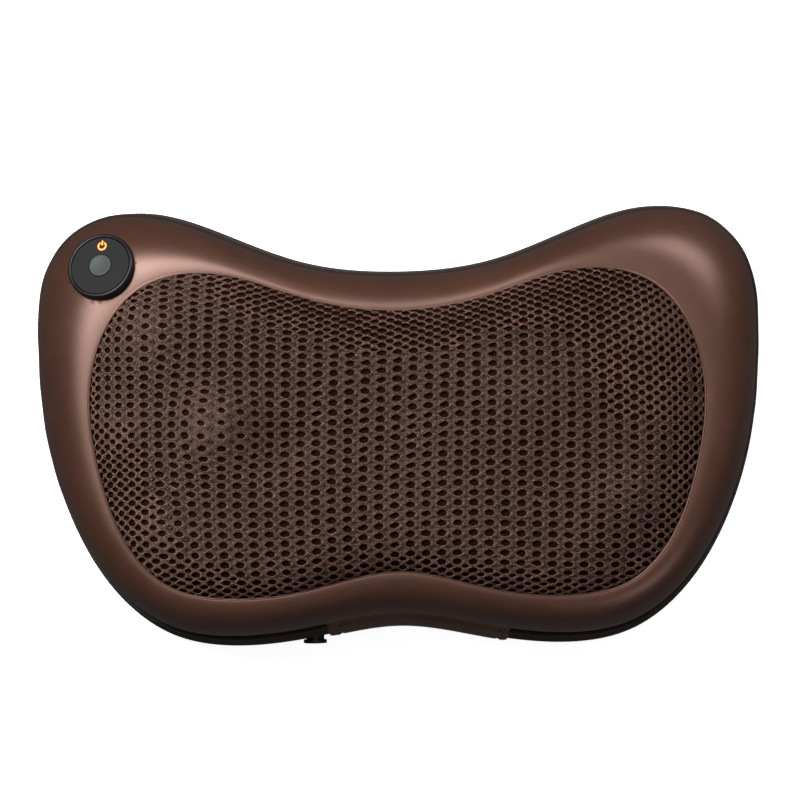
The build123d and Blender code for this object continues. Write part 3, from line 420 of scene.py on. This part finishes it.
def foam_finish():
    """Open-cell foam: small pits with lighter walls; the colour is a painted shade, darker wherever the bump
    sinks.
    """
    f = Finish("grey_foam", roughness=0.95)
    pits_with_painted_shade = f.cells(900).between(0.1, 0.7)
    soil = f.noise(40, 3)
    # painted shade: the mask that sinks the bump also darkens the colour
    f.set(Base_Color=f.mix(pits_with_painted_shade, rgb(120, 118, 114), rgb(84, 82, 79)))
    f.bump((1 - pits_with_painted_shade) + soil * 0.2, 0.0005, 0.8)
    return f.material


def glow_finish():
    """Amber light guide, lit from behind, its brightness varying a little at random."""
    f = Finish("amber_glow", roughness=0.35)
    flicker = f.noise(1500, 2)
    f.set(Base_Color=f.mix(flicker, rgb(255, 120, 30), rgb(255, 160, 70)))
    f.set(Emission_Color=f.mix(flicker, rgb(255, 96, 20), rgb(255, 150, 60)))
    f.surface.inputs["Emission Strength"].default_value = 2.4
    return f.material


def winding_finish():
    """Laminated core with copper wire between its poles, painted darker between the turns as shade and lighter on
    their crowns as highlight.
    """
    f = Finish("copper_winding", metallic=0.9, roughness=0.35)
    wires = f.math("SINE", f.axis("X") * (2 * pi / 0.0006))
    # painted shade and highlight: the wave that raises each turn in the bump also lightens its crown and darkens
    # the groove
    f.set(Base_Color=f.mix(wires.between(-1, 1), rgb(110, 52, 26), rgb(205, 122, 70)))
    f.bump(wires, 0.00008, 0.6)
    return f.material


bronze_leather = leather_finish("bronze_leather", rgb(85, 55, 43), rgb(94, 62, 49), 0.38, 0.45)
patch_leather = leather_finish("dark_leather", rgb(88, 58, 46), rgb(102, 68, 55), 0.44, 0.3)
# the last colour of each yarn is its painted glint highlight
mesh_yarn = mesh_finish("mesh_yarn", rgb(32, 15, 9), rgb(128, 82, 63), rgb(142, 93, 72), rgb(214, 165, 140))
mesh_web = mesh_finish("mesh_web", rgb(20, 9, 6), rgb(98, 60, 45), rgb(108, 68, 52), rgb(188, 140, 118))
dark_lining = weave_finish("dark_lining", rgb(24, 9, 5), rgb(44, 20, 12), 0.0009, sheen=0.0, specular=0.05)
side_fabric = weave_finish("side_fabric", rgb(22, 12, 8), rgb(56, 36, 28), 0.0007, sheen=0.05)
piping_fabric = weave_finish("piping_fabric", rgb(22, 15, 12), rgb(52, 38, 32), 0.0006)
strap_fabric = weave_finish("strap_elastic", rgb(12, 12, 12), rgb(40, 39, 38), 0.0012)
thread_finish = weave_finish("stitch_thread", rgb(40, 27, 22), rgb(82, 60, 50), 0.0003)
FINISHES = {
    "leather": bronze_leather,
    "mesh": mesh_yarn,
    "side_fabric": side_fabric,
    "piping": piping_fabric,
    "strap": strap_fabric,
    "foam": foam_finish(),
    "control_black": plastic_finish("control_black", rgb(14, 14, 15), 0.36, Specular_IOR_Level=0.35),
    "control_grey": plastic_finish(
        "control_grey", rgb(24, 24, 25), 0.62, 3200, 0.00003, Specular_IOR_Level=0.2
    ),
    "button_grey": plastic_finish(
        "button_grey", rgb(60, 66, 66), 0.55, 3200, 0.00002, Specular_IOR_Level=0.3
    ),
    "lens": glow_finish(),
    "housing": plastic_finish("black_housing", rgb(34, 34, 36), 0.55, 1800, 0.00004),
    "gearing": plastic_finish("natural_acetal", rgb(226, 221, 205), 0.42, 1500, 0.00001, 0.04),
    "ball": plastic_finish("red_ball", rgb(150, 44, 36), 0.38, 2200, 0.00002),
    "steel": metal_finish("turned_steel", rgb(178, 178, 180), 0.32, (0.15, 1, 1)),
    "screw": metal_finish("zinc_screws", rgb(196, 196, 190), 0.28),
    "bronze": metal_finish("sintered_bronze", rgb(196, 150, 96), 0.45, scale=2600),
    "magnet": plastic_finish("ferrite_magnet", rgb(52, 52, 54), 0.6, 1500, 0.00003),
    "winding": winding_finish(),
    "board": plastic_finish("solder_mask", rgb(18, 84, 48), 0.35, 900, 0.00002, 0.3),
    "lead": plastic_finish("lead_jacket", rgb(24, 24, 25), 0.5, 1200, 0.00002),
    "zip": weave_finish("zip_nylon", rgb(14, 12, 11), rgb(44, 38, 35), 0.0005),
}


def dress(made, material, body=ROOT, stands_for=(), second=None):
    """Gives a piece its materials, its slot, its body and the CAD nodes that it stands for."""
    slots = [face.material_index for face in made.data.polygons]
    made.data.materials.clear()
    made.data.materials.append(material)
    if second:
        made.data.materials.append(second)
        made.data.polygons.foreach_set("material_index", slots)
    if stands_for:
        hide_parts(*stands_for)
    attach(made, body)
    return made


# ---- finishes of the CAD nodes that stay ----
for part in frame["record"]["subparts"]:
    node = frame["nodes"][part["node"]]
    node.data.materials.clear()
    node.data.materials.append(FINISHES[part["material_slot"]])


# ---- where the control sits ----
press = next(j for j in frame["joints"] if j["name"] == "power_button_press")
CONTROL_AXIS = -Vector(press["axis"]).normalized()
board_low, board_high = (Vector(c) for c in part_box("control_board"))
BOARD_MIDDLE = -5.9  # height of the board's middle plane, from the leather, in millimetres
CONTROL = (board_low + board_high) / 2 - CONTROL_AXIS * BOARD_MIDDLE * MM
CONTROL_RIGHT = Vector((0, 1, 0)).cross(CONTROL_AXIS).normalized()
CONTROL_HOLE_R = 13.0 * MM  # the opening in the leather, inside the bezel


# ---- leather border ----
def border_height(share):
    """Height of the leather at a share of the way from seam to rim."""
    rise = (1 - (1 - share) ** BORDER_POWER) ** (1 / BORDER_POWER)
    return LEATHER_FOOT + (RIM_Z - LEATHER_FOOT) * rise


def ring(loop, height):
    """A loop of (x, y) lifted to a height, one number or one for each point."""
    return np.column_stack([loop, np.broadcast_to(height, len(loop))])


def seam_line(inset):
    """The seam's outline: drawn in from the side, a little more along the top edge, where the welt shows."""
    ends = np.clip((1.05 - np.abs(SIDE[:, 0]) / HALF_W) * 3, 0, 1)
    top = np.clip(SIDE[:, 1] / (0.5 * HALF_H), 0, 1) * ends
    edges = SIDE + SIDE_IN * (inset + 0.2 * MM * top)[:, None]
    return edges + np.array([0, SEAM_RISE]) * (1 - top)[:, None]


def border_row(share):
    """One loop of the leather, between the seam and the rim."""
    seam = seam_line(SEAM_INSET)
    return ring(seam + (PANEL - seam) * share, border_height(share))


def cut_round_hole(made, centre, axis, radius):
    """Removes the surface inside a circle and draws the cut's edge onto it."""
    work = bmesh.new()
    work.from_mesh(made.data)

    def reach(v):
        out = v.co - centre
        return (out - axis * out.dot(axis)).length if abs(out.dot(axis)) < 2 * radius else 1.0

    inner = [f for f in work.faces if all(reach(v) < radius for v in f.verts)]
    bmesh.ops.delete(work, geom=inner, context="FACES")
    for v in work.verts:
        if reach(v) < radius:
            along = axis * (v.co - centre).dot(axis)
            out = v.co - centre - along
            v.co = centre + along + out.normalized() * radius
    work.to_mesh(made.data)
    work.free()


def build_leather():
    """The border from its tuck under the mesh, over the rounded lip and down to the seam."""
    lip = [(1.5, -4.0), (0.9, -2.2), (0.95, -0.9), (0.85, -0.1), (0.55, 0.25), (0.15, 0.22), (-0.15, -0.05)]
    rows = [ring(PANEL + PANEL_IN * inset * MM, RIM_Z + drop * MM) for inset, drop in lip]
    rows += [border_row(share) for share in 1 - (1 - np.cos(np.linspace(0.16, pi / 2, 26)))]
    foot = seam_line(SEAM_INSET)
    rows.append(ring(foot + SIDE_IN * 0.9 * MM, LEATHER_FOOT - 1.0 * MM))
    rows.append(ring(foot + SIDE_IN * 3.0 * MM, LEATHER_FOOT - 1.6 * MM))
    made = skin("leather_cover", rows)
    cut_round_hole(made, CONTROL, CONTROL_AXIS, CONTROL_HOLE_R)
    return made


leather = build_leather()
dress(leather, bronze_leather, ROOT, ["leather_border"])


# ---- mesh ----
def panel_share(x, y):
    """How far out a place lies between the panel's centre and its edge: 1 is on the edge."""
    dx, dy = x - PANEL_CENTRE[0], y - PANEL_CENTRE[1]
    return np.hypot(dx, dy) / np.interp(np.arctan2(dy, dx), EDGE_ANGLE, EDGE_REACH)


spokes = PANEL - PANEL_CENTRE
angles = np.arctan2(spokes[:, 1], spokes[:, 0])
order = np.argsort(angles)
EDGE_ANGLE = np.concatenate([[angles[order][-1] - 2 * pi], angles[order], [angles[order][0] + 2 * pi]])
reach = np.hypot(spokes[:, 0], spokes[:, 1])[order]
EDGE_REACH = np.concatenate([[reach[-1]], reach, [reach[0]]])
DOME_FOOT_Z = mesh_low[2] + 2 * MM
DOME_TOP_Z = CROWN_Z - 3.5 * MM
LINING_DEPTH = 1.75 * MM  # below the mesh's outer face

# (x, y, rise, spread) in millimetres: where a massage ball lifts the mesh, or the mesh sinks beside one
BUMPS = [
    (-71, -2, 7.0, 12.5), (-100, 37, 4.0, 13), (-95, -46, 3.6, 13), (-112, -3, 3.0, 10),
    (56, 10, 3.6, 14), (104, 36, 4.0, 13), (95, -30, 4.4, 13), (107, 1, 2.2, 13), (-45, -8, -3.6, 10),
    (-82, 22, -2.0, 12), (72, 30, -1.6, 14), (66, -26, -1.6, 14), (-78, -34, -1.4, 12),
]


def mesh_height(x, y):
    """Height of the mesh's outer face."""
    out = np.clip(panel_share(x, y), 0, 1)
    dome = DOME_FOOT_Z + (DOME_TOP_Z - DOME_FOOT_Z) * (1 - out**4.6) ** 0.62
    for bx, by, rise, spread in BUMPS:
        near = np.hypot(x - bx * MM, y - by * MM) / (spread * MM)
        dome = dome + rise * MM * np.exp(-(near**2)) * (1 - out**8)
    saddle = 2.2 * MM * np.exp(-((x / (38 * MM)) ** 2)) * (1 - out**2)
    return dome - saddle


PITCH_X = 6.25 * MM
PITCH_Y = 3.95 * MM
HOLE_CORNERS = 14


def drawn_together(place, start, ratio):
    """Beyond start, on either side, the lattice's steps shrink to a ratio of their size."""
    beyond = abs(place) - start
    if beyond <= 0:
        return place
    soft = 14 * MM
    shrunk = beyond * ratio + (1 - ratio) * soft * (1 - math.exp(-beyond / soft))
    return math.copysign(start + shrunk, place)


def lattice_place(i, j):
    """Where lattice point (i, j), in half pitches, lies on the stretched mesh."""
    x = drawn_together(i * PITCH_X / 2, 98 * MM, 0.62)
    y = j * PITCH_Y / 2
    middle = math.exp(-((x / (85 * MM)) ** 4))
    y = drawn_together(y, (44 - 26 * middle) * MM if y > 0 else 54 * MM, 0.66)
    warp_y = 1.6 * MM * sin(x / (46 * MM) + 0.6) + 0.9 * MM * sin(x / (21 * MM) - y / (60 * MM))
    warp_x = 1.3 * MM * sin(y / (33 * MM) + x / (70 * MM))
    for bx, by, rise, spread in BUMPS[:4]:
        dx, dy = x - bx * MM, y - by * MM
        push = 0.10 * rise * math.exp(-(dx * dx + dy * dy) / (spread * MM) ** 2)
        warp_x += dx * push * 0.5
        warp_y += dy * push * 0.5
    return x + warp_x, y + warp_y


def main_hole(i):
    """Whether a lattice point holds a large hole; the others hold the small ones between."""
    return i % 2 == 0


def openness(i, j):
    """How far the small in-between hole at (i, j) is open: fully near the top and bottom edges only."""
    x, y = lattice_place(i, j)
    edge = panel_share(np.array([x]), np.array([y]))[0]
    upper = (edge - 0.50) * 3.2 * math.exp(-(((x - 20 * MM) / (92 * MM)) ** 4)) if y > 0 else 0.0
    lower = (edge - 0.72) * 3.6 * (0.75 + 0.25 * sin(x / (19 * MM))) if y < 0 else 0.0
    rim = (edge - 0.90) * 5
    return min(1.0, max(0.0, upper, lower, rim))


def hole_size(i, j, seed):
    """Half width and half height of a hole, from the room in its cell and how far the mesh is stretched."""
    x, y = lattice_place(i, j)
    room_x = abs(lattice_place(i + 1, j)[0] - lattice_place(i - 1, j)[0]) / PITCH_X
    room_y = abs(lattice_place(i, j + 1)[1] - lattice_place(i, j - 1)[1]) / PITCH_Y
    shrink = 1.0
    for bx, by, rise, spread in BUMPS[:8]:
        near = math.hypot(x - bx * MM, y - by * MM) / (spread * MM)
        shrink -= 0.36 * max(rise, 0) / 5.2 * math.exp(-(near**2))
    jitter = 1 + 0.08 * (seed - 0.5)
    taken = openness(i, j)
    if main_hole(i):
        half_w = (2.0 - 0.12 * taken) * MM * shrink * jitter * room_x
        half_h = (1.36 - 0.06 * taken) * MM * shrink * jitter * room_y
        return half_w, half_h
    return (0.9 + 0.95 * taken) * MM * jitter * room_x, (0.5 + 0.78 * taken) * MM * jitter * room_y


def build_mesh():
    """The open mesh: a diamond cell round each hole, with rolled yarn edges and a wall to the lining."""
    draw = np.random.default_rng(7)
    verts, faces, slots, index = [], [], [], {}

    def corner(i, j):
        if (i, j) not in index:
            index[(i, j)] = len(verts)
            verts.append((*lattice_place(i, j), 0.0))
        return index[(i, j)]

    reach_i = int(HALF_W * 2.6 / PITCH_X)
    reach_j = int(HALF_H * 3.0 / PITCH_Y)
    for i in range(-reach_i, reach_i + 1):
        for j in range(-reach_j, reach_j + 1):
            if (i + j) % 2:
                continue
            seed, tilt = draw.random(2)
            x, y = lattice_place(i, j)
            if panel_share(np.array([x]), np.array([y]))[0] > 1.035:
                continue
            ends = [corner(i + 1, j), corner(i, j + 1), corner(i - 1, j), corner(i, j - 1)]
            a, b = hole_size(i, j, seed)
            rim, wall, deep = [], [], []
            for k in range(HOLE_CORNERS):
                t = 2 * pi * k / HOLE_CORNERS
                squeeze = 1 + 0.05 * sin(2 * t + 6 * tilt)
                for store, grow, drop in ((rim, 1.16, -0.10), (wall, 1.0, -0.5), (deep, 0.93, -1.5)):
                    store.append(len(verts))
                    shape = abs(cos(t)) ** 0.86 * math.copysign(1, cos(t))
                    swell = grow * squeeze
                    verts.append((x + a * swell * shape, y + b * swell * sin(t), drop * MM))
            quarter = HOLE_CORNERS / 4
            for k in range(HOLE_CORNERS):
                n = (k + 1) % HOLE_CORNERS
                faces.append((rim[k], rim[n], wall[n], wall[k]))
                faces.append((wall[k], wall[n], deep[n], deep[k]))
            for side in range(4):
                first, last = side * quarter, (side + 1) * quarter
                inner = [k for k in range(HOLE_CORNERS + 1) if first - 0.01 <= k <= last + 0.01]
                if side and inner[0] > first:
                    inner = [inner[0] - 1] + inner
                points = [rim[k % HOLE_CORNERS] for k in inner]
                if inner[-1] < last:
                    points.append(rim[(inner[-1] + 1) % HOLE_CORNERS])
                outer = [ends[side], ends[(side + 1) % 4]]
                faces.append((outer[0], outer[1], *reversed(points)))
            webbed = not main_hole(i) and openness(i, j) < 0.4
            if webbed:
                faces.append(tuple(wall))
            slots += [int(webbed)] * (len(faces) - len(slots))
    return verts, faces, slots


def rest_on_dome(verts):
    """Lifts flat lattice points onto the dome, keeping their depth, and draws those outside onto its edge."""
    v = np.array(verts)
    out = panel_share(v[:, 0], v[:, 1])
    keep = np.minimum(1.0, 1.004 / np.maximum(out, 1e-6))
    v[:, 0] = PANEL_CENTRE[0] + (v[:, 0] - PANEL_CENTRE[0]) * keep
    v[:, 1] = PANEL_CENTRE[1] + (v[:, 1] - PANEL_CENTRE[1]) * keep
    v[:, 2] += mesh_height(v[:, 0], v[:, 1])
    return v


mesh_verts, mesh_faces, mesh_slots = build_mesh()
mesh_cover = piece("mesh_cover", rest_on_dome(mesh_verts), mesh_faces, slots=mesh_slots)
outward(mesh_cover)
dress(mesh_cover, mesh_yarn, ROOT, ["mesh_panel"], mesh_web)


def build_lining():
    """The dark cloth just under the mesh."""
    rows = []
    for share in np.linspace(1.0, 0.02, 60):
        loop = PANEL_CENTRE + (PANEL - PANEL_CENTRE) * share * 0.995
        rows.append(ring(loop, mesh_height(loop[:, 0], loop[:, 1]) - LINING_DEPTH))
    return skin("mesh_lining", rows, cap_last=True)


lining = dress(build_lining(), dark_lining)


# ---- fabric side and back ----
SIDE_INSETS = [
    (-0.2, 40.0), (0.0, 17.5), (0.15, 15.2), (0.9, 12.0), (2.6, 8.8), (5.0, 6.2), (8.0, 3.9), (12.0, 1.8),
    (16.0, 0.5), (19.0, 0.1), (22.0, 0.2), (26.0, 0.9), (29.5, 2.0), (31.4, 3.0), (32.2, 3.9),
    (32.6, 6.0), (32.6, 12.0),
]


def side_inset(height):
    """How far the fabric side lies inside the outline at a height."""
    heights, insets = zip(*SIDE_INSETS[1:-2])
    return float(np.interp(height / MM, heights, insets)) * MM


HOUSING_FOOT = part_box("rear_housing")[0][2] / MM
CAVITY = [(32.6, 17.4), (HOUSING_FOOT - 0.3, 17.4)]


def build_side():
    """The padded side and back: outside from the back up to the seam, then the cavity for the housing."""
    profile = SIDE_INSETS[1:] + CAVITY
    rows = [ring(SIDE + SIDE_IN * inset * MM, max(height, 0.0) * MM) for height, inset in profile]
    return skin("side_cover", rows, cap_first=True, cap_last=True)


side_cover = build_side()
strap_low, strap_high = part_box("elastic_strap")
patches_low, patches_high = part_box("strap_patches")
zip_low, zip_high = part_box("zip_tape")


def sink(made, low, high, side, depth, radius):
    """Cuts a round-cornered pocket into the back, with room at each side of what lies in it."""
    start = (low[0] - side, low[1] - MM, -0.01)
    end = (high[0] + side, high[1] + MM, depth)
    cut_out(made, rounded_box("cutter", start, end, radius))


strap_room_low, strap_room_high = (patches_low[0], strap_low[1]), (patches_high[0], strap_high[1])
sink(side_cover, strap_room_low, strap_room_high, side=3 * MM, depth=2.0 * MM, radius=0.9 * MM)
sink(side_cover, zip_low, zip_high, side=7 * MM, depth=4.0 * MM, radius=1.2 * MM)
side_cover.data.set_sharp_from_angle(angle=math.radians(40))
dress(side_cover, side_fabric, ROOT, ["rear_cover"])


def build_piping():
    """Fabric-covered cord in the seam, its wrap a little uneven."""
    around = 14
    middle = seam_line(SEAM_INSET - 1.0 * MM)
    rows = []
    for k in range(around):
        a = 2 * pi * k / around
        swell = PIPING_R * (1 + 0.05 * np.sin(np.arange(STATIONS) * 2 * pi * 40 / STATIONS + a))
        rows.append(ring(middle - SIDE_IN * (swell * cos(a))[:, None], SEAM_Z + swell * sin(a)))
    rows.append(rows[0])
    return skin("piping_cord", rows)


dress(build_piping(), piping_fabric, ROOT, ["piping"])


# ---- leather patch on the lower side ----
def bottom_run(x_from, x_to, count):
    """Places and inward normals along the lower side between two x values."""
    lower = [k for k in range(STATIONS) if SIDE[k][1] < -0.5 * HALF_H]
    lower.sort(key=lambda k: SIDE[k][0])
    xs = SIDE[lower][:, 0]
    at = np.linspace(x_from, x_to, count)
    places = np.stack([at, np.interp(at, xs, SIDE[lower][:, 1])], 1)
    normals = np.stack([np.interp(at, xs, SIDE_IN[lower][:, k]) for k in range(2)], 1)
    return places, normals / np.linalg.norm(normals, axis=1)[:, None]


PATCH_LIFT = 1.15 * MM
PATCH_X = (patch_low[0] + 0.4 * MM, patch_high[0] - 0.4 * MM)
PATCH_Z = (patch_low[2], LEATHER_FOOT + 1.0 * MM)
PATCH_CREASES = (PATCH_X[0] + 5.6 * MM, PATCH_X[1] - 4.4 * MM)
# (height, inset) in millimetres where the patch rolls over the welt and under the leather
PATCH_ROLL = [(28.0, 1.5), (31.0, 2.6), (33.0, 3.4), (34.4, 4.0), (35.4, 4.7), (36.0, 5.6), (36.6, 7.2)]


def patch_point(place, normal, height, lift):
    """A place on the patch: along the side below, then round the roll over the welt."""
    heights, insets = zip(*PATCH_ROLL)
    if height < heights[0] * MM:
        inset = side_inset(height)
    else:
        inset = float(np.interp(height / MM, heights, insets)) * MM
    return (*(place + normal * (inset - lift)), height)


def build_patch():
    """The patch, its edges turned in and a crease where each end is folded and stitched."""
    columns = 120
    places, normals = bottom_run(*PATCH_X, columns)
    rows = []
    for t in np.linspace(0, 1, 30):
        height = PATCH_Z[0] + (PATCH_Z[1] - PATCH_Z[0]) * t
        row = []
        for n in range(columns):
            x = places[n][0]
            edge = min(x - PATCH_X[0], PATCH_X[1] - x, height - PATCH_Z[0]) + 0.02 * MM
            lift = PATCH_LIFT * (1 - math.exp(-edge / (0.5 * MM)))
            for crease in PATCH_CREASES:
                lift -= 0.4 * MM * math.exp(-(((x - crease) / (0.55 * MM)) ** 2))
            row.append(patch_point(places[n], normals[n], height, lift))
        rows.append(row)
    made = skin("side_patch", rows, closed=False)
    thick = made.modifiers.new("thickness", "SOLIDIFY")
    thick.thickness, thick.offset = 0.8 * MM, -1
    apply_modifiers(made)
    return made


side_patch = build_patch()
dress(side_patch, patch_leather, ROOT, ["bottom_patch"])


def patch_stitches():
    """Two rows of stitches down the ends of the patch."""
    made = []
    for x in (PATCH_CREASES[0] - 1.6 * MM, PATCH_CREASES[1] + 1.6 * MM):
        places, normals = bottom_run(x, x + 0.1 * MM, 2)
        for height in np.arange(PATCH_Z[0] + 2 * MM, PATCH_Z[1] - 1 * MM, 3.0 * MM):
            low = Vector(patch_point(places[0], normals[0], height - MM, PATCH_LIFT + 0.15 * MM))
            high = Vector(patch_point(places[0], normals[0], height + MM, PATCH_LIFT + 0.15 * MM))
            made.append(((low + high) / 2, high - low))
    return capsules("patch_stitches", made, 2.1 * MM, 0.2 * MM)


dress(patch_stitches(), thread_finish)


# ---- strap, its patches and the zip on the back ----
strap = rounded_box("strap_webbing", strap_low, strap_high, 0.3 * MM)
dress(strap, strap_fabric, ROOT, ["elastic_strap"])
keeper_width = patches_high[0] - strap_high[0] + 14 * MM
for k, left in enumerate((patches_low[0], patches_high[0] - keeper_width)):
    right = left + keeper_width
    low = (left, patches_low[1], patches_low[2])
    high = (right, patches_high[1], patches_high[2])
    keeper = rounded_box(f"strap_keeper_{'ab'[k]}", low, high, 0.25 * MM)
    dress(keeper, patch_leather, ROOT, ["strap_patches"] if k == 0 else ())
    inset = 2.2 * MM
    seam = []
    for x in (left + inset, right - inset):
        for y in np.arange(low[1] + inset, high[1] - inset + 0.1 * MM, 2.8 * MM):
            seam.append(((x, y, low[2] + 0.05 * MM), (0, 1, 0)))
    for y in (low[1] + inset, high[1] - inset):
        for x in np.arange(left + inset + 2 * MM, right - inset - MM, 2.8 * MM):
            seam.append(((x, y, low[2] + 0.05 * MM), (1, 0, 0)))
    dress(capsules(f"keeper_stitches_{'ab'[k]}", seam, 2.1 * MM, 0.16 * MM), thread_finish)

zip_mid = (zip_low[1] + zip_high[1]) / 2
tape_bottom = zip_high[2] - 0.7 * MM
tape = rounded_box("zip_tape_cloth", (zip_low[0], zip_low[1], tape_bottom), zip_high, 0.2 * MM)
dress(tape, FINISHES["zip"], ROOT, ["zip_tape"])
teeth = []
for n, x in enumerate(np.arange(zip_low[0] + 4.5 * MM, zip_high[0] - 4.2 * MM, 0.75 * MM)):
    lean = 0.35 if n % 2 else -0.35
    teeth.append(((x, zip_mid + (0.25 if n % 2 else -0.25) * MM, tape_bottom - 0.55 * MM), (lean, 1, 0)))
dress(capsules("zip_coil", teeth, 2.1 * MM, 0.42 * MM), FINISHES["zip"])

# ---- foam pad under the mesh ----
foam_low, foam_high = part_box("foam_pad")
WELL_R = 42.0  # millimetres, round each head


def build_foam():
    """The pad with rounded edges, open round each head."""
    rows = []
    for inset, height in ((3.0, 0.0), (0.6, 1.2), (0.3, 3.0), (0.3, -3.0), (0.6, -1.2), (3.0, 0.0)):
        base = foam_low[2] if height > 0 or not rows else foam_high[2]
        rows.append(ring(PANEL + PANEL_IN * (inset + 0.3) * MM, base + height * MM))
    made = skin("foam_block", rows, cap_first=True, cap_last=True)
    for head in ("rotor_left", "rotor_right"):
        low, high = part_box(head)
        middle = ((low[0] + high[0]) / 2, (low[1] + high[1]) / 2, foam_low[2])
        cut_out(made, lathe("cutter", [(WELL_R, -20), (WELL_R, 60)], middle, (0, 0, 1), (1, 0, 0)))
    return made


foam_block = build_foam()
dress(foam_block, FINISHES["foam"], ROOT, ["foam_pad"])

# ---- control ----
bezel = lathe(
    "bezel_ring",
    [
        (0, -8.4), (12.25, -8.5), (12.25, 0.6), (12.3, 1.7), (12.45, 2.1), (12.75, 2.35), (13.1, 2.4),
        (13.5, 2.25), (13.85, 1.8), (13.98, 1.1), (13.98, -2.0), (13.9, -9.9), (0, -10.0),
    ],
    CONTROL, CONTROL_AXIS, CONTROL_RIGHT,
)
dress(bezel, FINISHES["control_black"], ROOT, ["control_bezel"])
button = lathe(
    "button_cap",
    [
        (0, 2.05), (2.0, 2.12), (3.4, 2.3), (4.1, 2.45), (4.45, 2.42), (4.65, 2.2), (4.7, 1.8), (4.7, 0.3),
        (5.9, 0.3), (5.9, -0.35), (1.5, -0.4), (1.45, -2.15), (0, -2.2),
    ],
    CONTROL, CONTROL_AXIS, CONTROL_RIGHT,
)
dress(button, FINISHES["button_grey"], "power_button", ["power_button"])
for name in ("control_face", "dc_jack", "zip_slider", "zip_pull"):
    edges = frame["nodes"][name].modifiers.new("edges", "BEVEL")
    edges.width, edges.segments = 0.15 * MM, 2
    edges.limit_method, edges.angle_limit = "ANGLE", math.radians(50)

# ---- studio ----
FLOOR_Z = -0.4 * MM
FLOOR_HALF = 4.0
floor_corners = [(x * FLOOR_HALF, y * FLOOR_HALF, FLOOR_Z) for x, y in ((-1, -1), (1, -1), (1, 1), (-1, 1))]
floor = piece("floor", floor_corners, [(0, 1, 2, 3)], smooth=False)
floor_finish = Finish("pale_floor", roughness=0.9)
paper = floor_finish.mix(floor_finish.noise(3, 2), (0.86, 0.86, 0.86, 1), (0.9, 0.9, 0.9, 1))
floor_finish.set(Base_Color=paper, Emission_Color=paper)
floor_finish.surface.inputs["Emission Strength"].default_value = 0.95
floor.data.materials.append(floor_finish.material)
floor.visible_diffuse = False
floor.visible_glossy = False


def softbox(name, place, target, size, power, size_y=None):
    """An area light that faces a target."""
    light = bpy.data.lights.new(name, "AREA")
    light.shape, light.size, light.size_y, light.energy = "RECTANGLE", size, size_y or size, power
    made = bpy.data.objects.new(name, light)
    made.location = place
    made.rotation_euler = (Vector(target) - Vector(place)).to_track_quat("-Z", "Y").to_euler()
    bpy.context.scene.collection.objects.link(made)
    return made


softbox("key", (-0.36, 0.38, 0.90), (0, 0, 0.05), 0.36, 11.5)
softbox("strip", (0.50, 0.60, 0.52), (0, 0, 0.05), 0.5, 3.8, size_y=0.3)
softbox("top", (0.1, 0.1, 1.3), (0, 0, 0), 0.9, 1.8)
softbox("fill", (0.60, -0.70, 0.45), (0, 0, 0.05), 0.5, 1.2)
relief = softbox("relief", (-0.66, 0.12, 0.32), (0, 0, 0.08), 0.22, 5)
relit = bpy.data.collections.new("relit_by_relief")
relit.objects.link(mesh_cover)
relief.light_linking.receiver_collection = relit
world = bpy.data.worlds.new("studio")
world.use_nodes = True
world.node_tree.nodes["Background"].inputs["Color"].default_value = (1, 1, 1, 1)
world.node_tree.nodes["Background"].inputs["Strength"].default_value = 0.07
bpy.context.scene.world = world
bpy.context.scene.view_settings.view_transform = "Standard"

# ---- camera ----
TILT, YAW, ROLL, DISTANCE = 2.0, 0.85, -0.75, 0.86
aim = Vector((0.0, 0.0, 0.045))
back = Vector((sin(math.radians(YAW)), -sin(math.radians(TILT)), 1.0)).normalized()
right = Vector((cos(math.radians(ROLL)), sin(math.radians(ROLL)), 0.0))
right = (right - back * right.dot(back)).normalized()
camera_data = bpy.data.cameras.new("camera")
camera_data.sensor_width, camera_data.lens = 36.0, 92.0
camera_data.shift_x, camera_data.shift_y = 0.0024, 0.0301
camera = bpy.data.objects.new("camera", camera_data)
camera.location = aim + back * DISTANCE
camera.rotation_euler = Matrix((right, back.cross(right), back)).transposed().to_euler()
bpy.context.scene.collection.objects.link(camera)
bpy.context.scene.camera = camera
